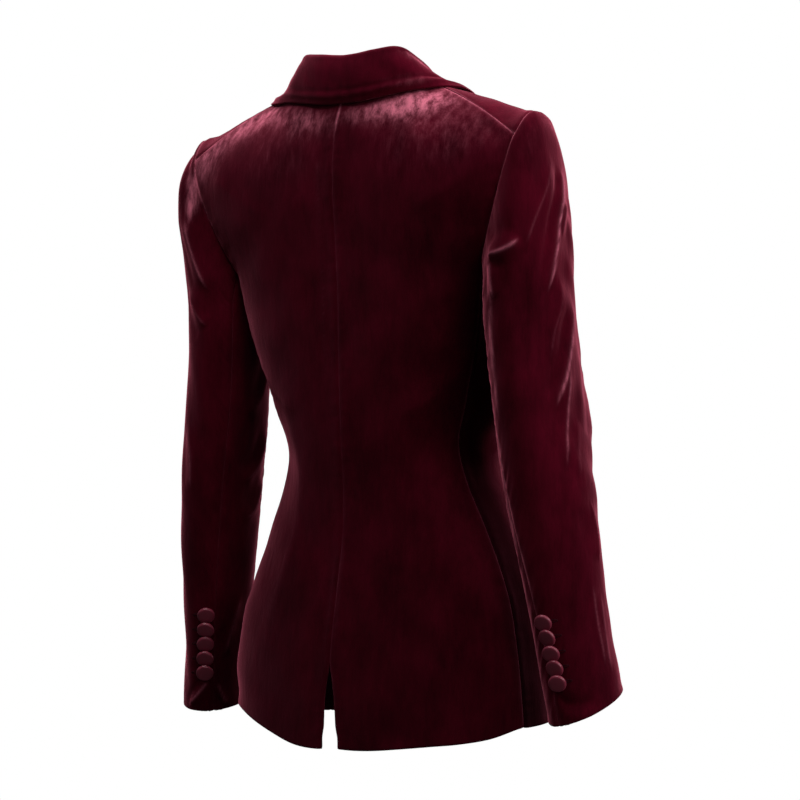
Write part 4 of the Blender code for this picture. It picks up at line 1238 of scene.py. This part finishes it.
def buttonhole_thread(root, shader, colours):
    """Dull twisted thread of the buttonholes, of one dark colour."""
    fix(shader, Base_Color=opaque(colours.thread), Roughness=0.7, Specular_IOR_Level=0.1)


def stage_floor(root, shader, colours):
    """Pale matt floor with a little light of its own."""
    pale = opaque(colours.floor)
    fix(shader, Base_Color=pale, Roughness=0.9, Emission_Color=pale, Emission_Strength=FLOOR_GLOW)


def finish_cloth(piece, cloth, node, context):
    """Materials, frame marks and flat size of one piece of cloth."""
    for fill in (velvet_pile, velvet_reverse):
        piece.data.materials.append(material(fill.__name__, fill, context))
    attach(piece, "root")
    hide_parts(node)
    width, length, area = cloth.flat()


class BlazerSizes(PropertyGroup):
    """Sizes of the cloth and its buttons."""

    cloth: FloatProperty(name="Cloth", description="Thickness of the velvet", default=0.0016, unit="LENGTH")
    lapel_cloth: FloatProperty(name="Lapel", description="Thickness of the lapels", default=0.0022,
                               unit="LENGTH")
    collar_cloth: FloatProperty(name="Collar", description="Thickness of the collar", default=0.0023,
                                unit="LENGTH")
    hem: FloatProperty(name="Hem", description="Extra thickness of turned hems", default=0.0010,
                       unit="LENGTH")
    cell: FloatProperty(name="Cell", description="Spacing of the cloth's grid", default=0.0027, unit="LENGTH")
    seam: FloatProperty(name="Seam", description="Height of the ridge beside a seam", default=0.0007,
                        unit="LENGTH")
    pucker: FloatProperty(name="Pucker", description="Height of puckers along a seam", default=0.0004,
                          unit="LENGTH")
    crease: FloatProperty(name="Creases", description="Strength of the placed creases", default=1.0,
                          subtype="FACTOR")
    swell: FloatProperty(name="Swell", description="Height of the cloth's swell", default=0.0008,
                         unit="LENGTH")
    button: FloatProperty(name="Cuff button", description="Radius of a cuff button", default=0.0089,
                          unit="LENGTH")
    front_button: FloatProperty(name="Front button", description="Radius of the front button", default=0.0105,
                                unit="LENGTH")
    dome: FloatProperty(name="Dome", description="Height of a button's dome", default=0.0036, unit="LENGTH")


class BlazerColours(PropertyGroup):
    """Colours of the cloth, the buttons and the stage."""

    # The dark tone also serves as the colour of the painted shade
    shade: FloatVectorProperty(name="Shade", description="Velvet seen into the pile", subtype="COLOR",
                               default=(0.010, 0.0004, 0.0016))
    pile: FloatVectorProperty(name="Pile", description="Velvet with the pile turned over", subtype="COLOR",
                              default=(0.135, 0.0040, 0.0170))
    # Pale colour of the painted highlights; partly crushed pile
    crushed: FloatVectorProperty(name="Crushed", description="Pile pressed flat along folds and seams",
                                 subtype="COLOR", default=(0.78, 0.200, 0.290))
    sheen: FloatVectorProperty(name="Sheen", description="Glow along the edges of the velvet",
                               subtype="COLOR", default=(0.95, 0.20, 0.30))
    satin: FloatVectorProperty(name="Satin", description="Covered buttons", subtype="COLOR",
                               default=(0.215, 0.026, 0.050))
    thread: FloatVectorProperty(name="Thread", description="Buttonholes", subtype="COLOR",
                                default=(0.022, 0.0020, 0.005))
    floor: FloatVectorProperty(name="Floor", description="Floor of the stage", subtype="COLOR",
                               default=(0.80, 0.80, 0.80))


def seam_room(sizes):
    """How far a sewn edge is drawn back so that its rounded rim ends half a seam gap from the seam."""
    return 0.5 * (sizes.cloth - SEAM_GAP)


def hemmed(sizes, distance, depth):
    """Thickness of the cloth, greater over a turned hem, by the distance from its edge."""
    return sizes.cloth + sizes.hem * bump(distance, depth)


class BLAZER_OT_backs(Operator):
    """Build the two back panels with the centre seam and the vent"""

    bl_idname = "blazer.backs"
    bl_label = "Backs"

    def execute(self, context):
        sizes = context.scene.blazer_sizes
        for side, word in SIDES:
            cloth = cut(back_panel, (0, BACK_ROWS), (0, 1), side, -1, sizes.cell, ALL_EDGES)
            cloth.ease_rows(rounds=60, margin=0.020)
            cloth.draw_back(("last",), seam_room(sizes))
            # Painted highlight lines along the centre seam below the collar and along the side seam
            pale = 0.07 + 0.60 * bump(cloth.row - UNDER_COLLAR_ROW, 1.0)
            cloth.sew("first", sizes.seam, 0.7 * sizes.pucker, 11 + side, pale)
            pale = 0.22 + 0.25 * ease((cloth.row - LOWER_ROWS - BACK_ARM_ROWS) / 0.5)
            cloth.sew("last", sizes.seam, sizes.pucker, 21 + side, pale)
            cloth.fold(BACK_CREASES[side], sizes.crease, ("last",))
            # Painted highlight below the collar and on the upper back, painted shade on the lower back and by
            # the side seam
            cloth.brush(BACK_LIGHT_AND_SHADE[side])
            cloth.swell(sizes.swell, 31 + side)
            piece = cloth.shell("back_%s_cloth" % word, hemmed(sizes, cloth.low, HEM_DEPTH))
            finish_cloth(piece, cloth, "back_" + word, context)
        return {"FINISHED"}


class BLAZER_OT_sides(Operator):
    """Build the two side panels under the arms"""

    bl_idname = "blazer.sides"
    bl_label = "Sides"

    def execute(self, context):
        sizes = context.scene.blazer_sizes
        for side, word in SIDES:
            cloth = cut(side_panel, (0, LOWER_ROWS), (0, 1), side, -1, sizes.cell, ALL_EDGES)
            cloth.ease_rows(rounds=30, margin=0.020)
            cloth.draw_back(("first", "last"), seam_room(sizes))
            # Painted highlight lines along both seams
            cloth.sew("first", sizes.seam, sizes.pucker, 41 + side, 0.10)
            cloth.sew("last", sizes.seam, sizes.pucker, 51 + side, 0.10)
            cloth.fold(SIDE_CREASES[side], sizes.crease, ("first", "last"))
            cloth.swell(sizes.swell, 61 + side)
            # Painted shade on the side panel, darkest at the back seam
            cloth.painted_light_and_shade -= SIDE_PAINTED_SHADE * (1.0 - SIDE_PAINTED_SHADE_FADE * cloth.place)
            piece = cloth.shell("side_%s_cloth" % word, hemmed(sizes, cloth.low, HEM_DEPTH))
            finish_cloth(piece, cloth, "side_" + word, context)
        return {"FINISHED"}


class BLAZER_OT_fronts(Operator):
    """Build the two fronts, the right lapped over the left"""

    bl_idname = "blazer.fronts"
    bl_label = "Fronts"

    def execute(self, context):
        sizes = context.scene.blazer_sizes
        for side, word in SIDES:
            cloth = cut(front_panel, (0, FRONT_ROWS), (0, 1), side, 1, sizes.cell, ALL_EDGES)
            cloth.ease_rows(rounds=40, margin=0.020)
            cloth.draw_back(("last", "high"), seam_room(sizes))
            # Painted highlight lines along the side seam and the shoulder seam
            cloth.sew("last", sizes.seam, sizes.pucker, 71 + side, 0.12)
            cloth.sew("high", sizes.seam, 0.5 * sizes.pucker, 75 + side)
            cloth.fold(FRONT_CREASES[side], sizes.crease, ("last",))
            cloth.swell(sizes.swell, 81 + side)
            piece = cloth.shell("front_%s_cloth" % word, hemmed(sizes, cloth.low, HEM_DEPTH))
            finish_cloth(piece, cloth, "front_" + word, context)
        return {"FINISHED"}


class BLAZER_OT_lapels(Operator):
    """Build the lapels, rolled back from the front edges"""

    bl_idname = "blazer.lapels"
    bl_label = "Lapels"

    def execute(self, context):
        sizes = context.scene.blazer_sizes

        def surface(length, width, side):
            return lapel(length, width, side, LAPEL_LIE + sizes.lapel_cloth)

        for side, word in SIDES:
            cloth = cut(surface, (0, 1), (LAPEL_INNER, 1), side, 1, LAPEL_CELL, (True, True, False, True))
            for place, half_width, height in LAPEL_EDGE:
                cloth.height += height * bump(cloth.last - place, half_width)
            cloth.swell(0.5 * sizes.swell, 91 + side)
            piece = cloth.shell("lapel_%s_cloth" % word, sizes.lapel_cloth)
            finish_cloth(piece, cloth, "lapel_" + word, context)
        return {"FINISHED"}


class BLAZER_OT_collar(Operator):
    """Build the collar: stand, roll and fall round the neck"""

    bl_idname = "blazer.collar"
    bl_label = "Collar"

    def execute(self, context):
        sizes = context.scene.blazer_sizes

        def surface(down, along, side):
            left = collar_half(np.abs(along), down, sizes.collar_cloth, LEFT)
            right = collar_half(np.abs(along), down, sizes.collar_cloth, RIGHT) * np.array((-1, 1, 1))
            return np.where((along < 0)[..., None], right, left)

        stand = np.linspace(0, 1, COLLAR_STEPS[0], endpoint=False)
        roll = np.linspace(1, 2, COLLAR_STEPS[1], endpoint=False)
        fall = np.linspace(2, 3, COLLAR_STEPS[2] + 1)
        down = np.insert(np.concatenate([stand, roll, fall]), -1, COLLAR_LAST_STEPS)
        cloth = Cloth(surface, down, np.linspace(-1, 1, COLLAR_COLUMNS), LEFT, 1)
        free = np.ones(cloth.row.shape)
        points = np.swapaxes(settle(np.swapaxes(cloth.base, 0, 1), 30, free.T), 0, 1)
        cloth.take(settle(points, 1, free))
        for place, half_width, height in COLLAR_EDGE:
            cloth.height += height * bump(cloth.high - place, half_width)
        # Painted highlight along the collar's edge and on its roll
        for place, half_width, strength in COLLAR_EDGE_HIGHLIGHT:
            cloth.painted_light_and_shade += strength * bump(cloth.high - place, half_width)
        cloth.brush(COLLAR_HIGHLIGHTS)
        wave = ripple(cloth.across, cloth.high, 5, 0.02, 0.08)
        cloth.height += sizes.pucker * wave * np.exp(-cloth.high / 0.02)
        cloth.swell(0.6 * sizes.swell, 101, 0.03, 0.09)
        finish_cloth(cloth.shell("collar_cloth", sizes.collar_cloth), cloth, "collar", context)
        return {"FINISHED"}


class BLAZER_OT_sleeves(Operator):
    """Build the top and under sleeves with their heads, elbow creases and cuffs"""

    bl_idname = "blazer.sleeves"
    bl_label = "Sleeves"

    def execute(self, context):
        for side, word in SIDES:
            self.half(context, side, "sleeve_top_" + word, (0, FRONT_SEAM), "first", "last")
            self.half(context, side, "sleeve_under_" + word, (FRONT_SEAM, len(RING)), "last", "first")
        return {"FINISHED"}

    def half(self, context, side, node, places, hind, fore):
        """One half of a sleeve, with its hind seam and its fore seam."""
        sizes = context.scene.blazer_sizes
        top = places[0] == 0
        dense = DENSE[side] if top else None
        cloth = cut(sleeve, (0, SLEEVE_ROWS), places, side, 1, sizes.cell, ALL_EDGES, dense)
        cloth.ease_rows(rounds=40, margin=0.012)
        cloth.draw_back(("first", "last"), seam_room(sizes))
        cloth.draw_back(("low",), -SLEEVE_TURN_IN)
        # Painted highlight along the hind seam, brightest about a row, and faint along the fore seam
        plain, bright = HIND_HIGHLIGHT[side]
        pale = plain + bright * bump(cloth.row - HIND_HIGHLIGHT_ROW, HIND_HIGHLIGHT_ROWS)
        pucker = HIND_PUCKER[side] * sizes.pucker
        cloth.sew(hind, 1.2 * sizes.seam, pucker, 111 + side, pale, HIND_HIGHLIGHT_REACH[side])
        cloth.sew(fore, sizes.seam, sizes.pucker, 121 + side, 0.08)
        if top:
            head = bump(cloth.place - HEAD_PLACE, HEAD_SPREAD)
            cloth.height += HEAD_ROLL[side] * head * seam_ridge(cloth.low, 1.0)
            # Painted highlight along the head's seam, brightest at the top of the head
            cloth.sew("low", 0.4 * sizes.seam, sizes.pucker, 131 + side, 0.25 + 0.55 * head)
        cloth.fold(SLEEVE_CREASES[side], sizes.crease, ("low", "first", "last"))
        # Painted highlights and painted shade on the sleeve
        cloth.brush(SLEEVE_LIGHT_AND_SHADE[side])
        cloth.press(SLEEVE_PRESSED[side])
        cloth.swell(1.2 * sizes.swell, 141 + 3 * side + places[0])
        piece = cloth.shell(node + "_cloth", hemmed(sizes, cloth.high, CUFF_DEPTH))
        finish_cloth(piece, cloth, node, context)


def turned(axis, degrees):
    """Matrix that turns by an angle about the first (0) or the second (1) axis."""
    sine, cosine = math.sin(math.radians(degrees)), math.cos(math.radians(degrees))
    if axis == 0:
        return np.array(((1, 0, 0), (0, cosine, -sine), (0, sine, cosine)))
    return np.array(((cosine, 0, sine), (0, 1, 0), (-sine, 0, cosine)))


def button_mesh(name, spot, radius, dome, tips, seat):
    """Covered button: its profile turned about an axis that leans and tips sideways, set off the cloth."""
    centre, normal, up = spot
    lean, tip = tips
    turn = np.linspace(0, 2 * np.pi, BUTTON_COLUMNS, endpoint=False)
    knots = np.linspace(0, 1, len(BUTTON_PROFILE))
    profile = smooth(knots, np.array(BUTTON_PROFILE), np.linspace(0, 1, BUTTON_RINGS))
    profile[:, 0] = np.maximum(profile[:, 0], 0.002)
    ring, angle = np.meshgrid(np.arange(BUTTON_RINGS), turn, indexing="ij")
    wide, high = profile[ring, 0], profile[ring, 1]
    out = radius * wide + PLEAT_DEPTH * np.sin(PLEATS * angle) * ease((wide - 0.75) / 0.25)
    local = vec(out * np.cos(angle), out * np.sin(angle), dome * high)
    normal = unit(np.asarray(normal, float))
    up = unit(up - normal * (up @ normal))
    axes = np.stack([np.cross(up, normal), up, normal])
    raised = radius * (math.sin(math.radians(abs(lean))) + 0.5 * math.sin(math.radians(abs(tip))))
    rise = seat + raised - BUTTON_PROFILE[-1][1] * dome
    points = (local @ (turned(0, lean) @ turned(1, tip)).T) @ axes + centre + normal * rise
    index = np.arange(ring.size).reshape(ring.shape)
    after = np.roll(index, -1, axis=1)
    faces = np.stack([index[:-1], index[1:], after[1:], after[:-1]], axis=-1).reshape(-1, 4)
    return make_mesh(name, points.reshape(-1, 3), faces, local[..., :2].reshape(-1, 2))


def cuff_spots(side):
    """Centre, normal, up and sideways direction of each cuff button on its sleeve."""
    rows = np.linspace(CAP_ROWS, SLEEVE_ROWS, 400)
    mirror = np.array((side, 1, 1))
    seam = sleeve(rows, np.zeros_like(rows), side) * mirror
    beside = sleeve(rows, np.ones_like(rows), side) * mirror
    line = seam + BUTTON_SETBACK * unit(beside - seam)
    above_hem = reach(line[::-1], 0)[::-1]
    spots = []
    for number in range(len(BUTTON_TIPS[side])):
        at = int(np.argmin(np.abs(above_hem - BUTTON_FIRST - number * BUTTON_PITCH)))
        up = unit(line[at - 4] - line[at])
        over = unit(beside[at] - seam[at])
        spots.append((line[at], side * unit(np.cross(up, over)), up, over))
    return spots


def front_spot():
    """Centre, normal and up of the front button on the lapped right front."""
    across = np.linspace(0.0, 0.4, 200)
    line = front_panel(np.full_like(across, FRONT_BUTTON_ROW), across, RIGHT)
    at = np.array([np.interp(0.0, line[:, 0], across)])
    row = np.array([FRONT_BUTTON_ROW])
    mirror = np.array((RIGHT, 1, 1))
    centre = front_panel(row, at, RIGHT)[0] * mirror
    normal = outward(front_panel, row, at, RIGHT)[0] * mirror
    return centre, normal, np.array((0.0, 0.0, 1.0))


class BLAZER_OT_buttons(Operator):
    """Build the covered buttons of both cuffs and of the front"""

    bl_idname = "blazer.buttons"
    bl_label = "Buttons"

    def execute(self, context):
        sizes = context.scene.blazer_sizes
        made = []
        for side, word in SIDES:
            for number, (spot, tips) in enumerate(zip(cuff_spots(side), BUTTON_TIPS[side])):
                node = "cuff_button_%s_%d" % (word, number + 1)
                piece = button_mesh(node + "_satin", spot[:3], sizes.button, sizes.dome, tips, BUTTON_SEAT)
                made.append((piece, node))
        piece = button_mesh("front_button_satin", front_spot(), sizes.front_button, sizes.dome, (0.0, 0.0),
                            FRONT_BUTTON_SEAT)
        made.append((piece, "front_button"))
        for piece, node in made:
            piece.data.materials.append(material("button_satin", button_satin, context))
            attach(piece, "root")
            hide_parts(node)
        return {"FINISHED"}


def buttonhole(centre, normal, along, length, lift):
    """Stitched oval: a thin round bead that swells at each stitch, along one direction on the cloth."""
    normal = unit(normal)
    along = unit(along - normal * (along @ normal))
    over = np.cross(normal, along)
    going = np.linspace(0, 2 * np.pi, HOLE_STEPS, endpoint=False)
    about = np.linspace(0, 2 * np.pi, THREAD_STEPS, endpoint=False)
    turn, around = np.meshgrid(going, about, indexing="ij")
    sine, cosine = np.sin(turn), np.cos(turn)
    bead = THREAD_RADIUS * (1 + 0.22 * np.sin(STITCHES * turn))
    spread = bead * np.cos(around)
    ahead = 0.5 * length * cosine + spread * cosine ** 3
    aside = HOLE_HALF_WIDTH * np.sign(sine) * np.abs(sine) ** 0.6 + spread * sine
    high = lift + bead * np.sin(around)
    points = centre + ahead[..., None] * along + aside[..., None] * over + high[..., None] * normal
    index = np.arange(turn.size).reshape(turn.shape)
    after = np.roll(index, -1, axis=0)
    faces = np.stack([index, after, np.roll(after, -1, axis=1), np.roll(index, -1, axis=1)], axis=-1)
    return points.reshape(-1, 3), faces.reshape(-1, 4)


class BLAZER_OT_stitching(Operator):
    """Build the buttonholes under the buttons"""

    bl_idname = "blazer.stitching"
    bl_label = "Stitching"

    def execute(self, context):
        groups = []
        for side, word in SIDES:
            holes = []
            for centre, normal, _, over in cuff_spots(side):
                holes.append(buttonhole(centre + over * CUFF_HOLE[0], normal, over, *CUFF_HOLE[1:]))
            groups.append(("cuff_buttonholes_" + word, holes))
        centre, normal, _ = front_spot()
        over = np.array((1.0, 0.0, 0.0))
        hole = buttonhole(centre + over * FRONT_HOLE[0], normal, over, *FRONT_HOLE[1:])
        groups.append(("front_buttonhole", [hole]))
        for name, holes in groups:
            points = np.vstack([hole[0] for hole in holes])
            faces = np.vstack([hole[1] + i * len(hole[0]) for i, hole in enumerate(holes)])
            piece = make_mesh(name, points, faces)
            piece.data.materials.append(material("buttonhole_thread", buttonhole_thread, context))
            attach(piece, "root")
        return {"FINISHED"}


# Lights: name, place, place it looks at, size across and down, power
LIGHTS = (
    ("top rim", (0.10, -0.55, 1.70), (0.0, 0.0, -0.05), 1.6, 1.0, 44.0),
    ("over back", (0.0, 0.75, 1.75), (0.0, 0.0, -0.10), 1.2, 0.7, 22.0),
    ("left strip", (2.10, 1.10, 0.60), (0.05, 0.0, -0.30), 0.6, 1.6, 1.5),
    ("right strip", (-2.10, -0.50, 0.60), (-0.20, 0.0, -0.25), 0.6, 1.6, 22.0),
    ("right side", (-1.90, 0.90, 0.50), (-0.15, 0.0, -0.30), 0.8, 1.6, 9.5),
    ("front fill", (0.20, -2.60, 0.40), (0.0, 0.0, -0.30), 1.8, 1.8, 14.0),
)
SURROUND_LIGHT = 0.04

# Floor: half width, height, share of its colour that it gives out
FLOOR_HALF = 4.0
FLOOR_HEIGHT = -1.45
FLOOR_GLOW = 0.75

# Camera: place, plan direction, aim aside and upward per length ahead, lens and sensor in millimetres
CAMERA = (-2.4073, 3.1945, -0.508)
CAMERA_AHEAD = (0.60182, -0.79864, 0.0)
CAMERA_AIM = (0.00925, 0.04795)
CAMERA_LENS = 180.4
CAMERA_SENSOR = 36.0


def aim(direction):
    """Turn that points a light or a camera along a direction, with its top up."""
    return direction.to_track_quat("-Z", "Y").to_euler()


def lay_floor(context):
    """Pale square floor that lights no cloth."""
    mesh = bpy.data.meshes.new("floor")
    corners = ((-1, -1), (1, -1), (1, 1), (-1, 1))
    mesh.from_pydata([(x * FLOOR_HALF, y * FLOOR_HALF, FLOOR_HEIGHT) for x, y in corners], [], [(0, 1, 2, 3)])
    mesh.materials.append(material("stage_floor", stage_floor, context))
    floor = bpy.data.objects.new("floor", mesh)
    floor.visible_diffuse = floor.visible_glossy = False
    context.scene.collection.objects.link(floor)


def hang_lights(scene):
    """Soft rectangular studio lights."""
    for name, place, target, wide, deep, power in LIGHTS:
        lamp = bpy.data.lights.new(name, "AREA")
        lamp.shape = "RECTANGLE"
        lamp.size, lamp.size_y, lamp.energy = wide, deep, power
        light = bpy.data.objects.new(name, lamp)
        light.location = place
        light.rotation_euler = aim(Vector(target) - Vector(place))
        scene.collection.objects.link(light)


def surround(scene):
    """White surround that is seen at full strength and lights the cloth only a little."""
    world = bpy.data.worlds.new("surround")
    scene.world = world
    world.use_nodes = True
    seen = Term(world.node_tree).node("ShaderNodeLightPath", {}, 0)
    back = world.node_tree.nodes["Background"]
    fix(back, Color=(1.0, 1.0, 1.0, 1.0))
    feed(back, "Strength", SURROUND_LIGHT + seen * (1.0 - SURROUND_LIGHT))


def place_camera(scene):
    """Long lens at the photo's angle."""
    lens = bpy.data.cameras.new("camera")
    lens.lens, lens.sensor_width, lens.sensor_fit = CAMERA_LENS, CAMERA_SENSOR, "HORIZONTAL"
    lens.clip_start, lens.clip_end = 0.05, 60.0
    camera = bpy.data.objects.new("camera", lens)
    camera.location = CAMERA
    ahead, up = Vector(CAMERA_AHEAD), Vector((0.0, 0.0, 1.0))
    camera.rotation_euler = aim(ahead + CAMERA_AIM[0] * ahead.cross(up) + CAMERA_AIM[1] * up)
    scene.collection.objects.link(camera)
    scene.camera = camera


class BLAZER_OT_stage(Operator):
    """Set up the pale floor, the soft studio lights, the white surround and the camera"""

    bl_idname = "blazer.stage"
    bl_label = "Stage"

    def execute(self, context):
        context.scene.view_settings.view_transform = "Standard"
        lay_floor(context)
        hang_lights(context.scene)
        surround(context.scene)
        place_camera(context.scene)
        return {"FINISHED"}


OPERATORS = (
    BLAZER_OT_backs,
    BLAZER_OT_sides,
    BLAZER_OT_fronts,
    BLAZER_OT_lapels,
    BLAZER_OT_collar,
    BLAZER_OT_sleeves,
    BLAZER_OT_buttons,
    BLAZER_OT_stitching,
    BLAZER_OT_stage,
)


class BLAZER_PT_panel(Panel):
    """Lists the pieces of the blazer"""

    bl_idname = "BLAZER_PT_panel"
    bl_label = "Velvet blazer"
    bl_space_type = "VIEW_3D"
    bl_region_type = "UI"
    bl_category = "Blazer"

    def draw(self, context):
        for made in OPERATORS:
            self.layout.operator(made.bl_idname)
        for group in (context.scene.blazer_sizes, context.scene.blazer_colours):
            box = self.layout.box()
            for name in group.__annotations__:
                box.prop(group, name)


CLASSES = (BlazerSizes, BlazerColours) + OPERATORS + (BLAZER_PT_panel,)


def register():
    """Adds the classes and the two groups of properties."""
    for made in CLASSES:
        bpy.utils.register_class(made)
    bpy.types.Scene.blazer_sizes = PointerProperty(type=BlazerSizes)
    bpy.types.Scene.blazer_colours = PointerProperty(type=BlazerColours)


def unregister():
    """Takes the properties and the classes away again."""
    del bpy.types.Scene.blazer_colours
    del bpy.types.Scene.blazer_sizes
    for made in reversed(CLASSES):
        bpy.utils.unregister_class(made)


def main():
    """Builds every piece and the stage."""
    register()
    bpy.ops.blazer.backs()
    bpy.ops.blazer.sides()
    bpy.ops.blazer.fronts()
    bpy.ops.blazer.lapels()
    bpy.ops.blazer.collar()
    bpy.ops.blazer.sleeves()
    bpy.ops.blazer.buttons()
    bpy.ops.blazer.stitching()
    bpy.ops.blazer.stage()


if __name__ == "__main__":
    main()
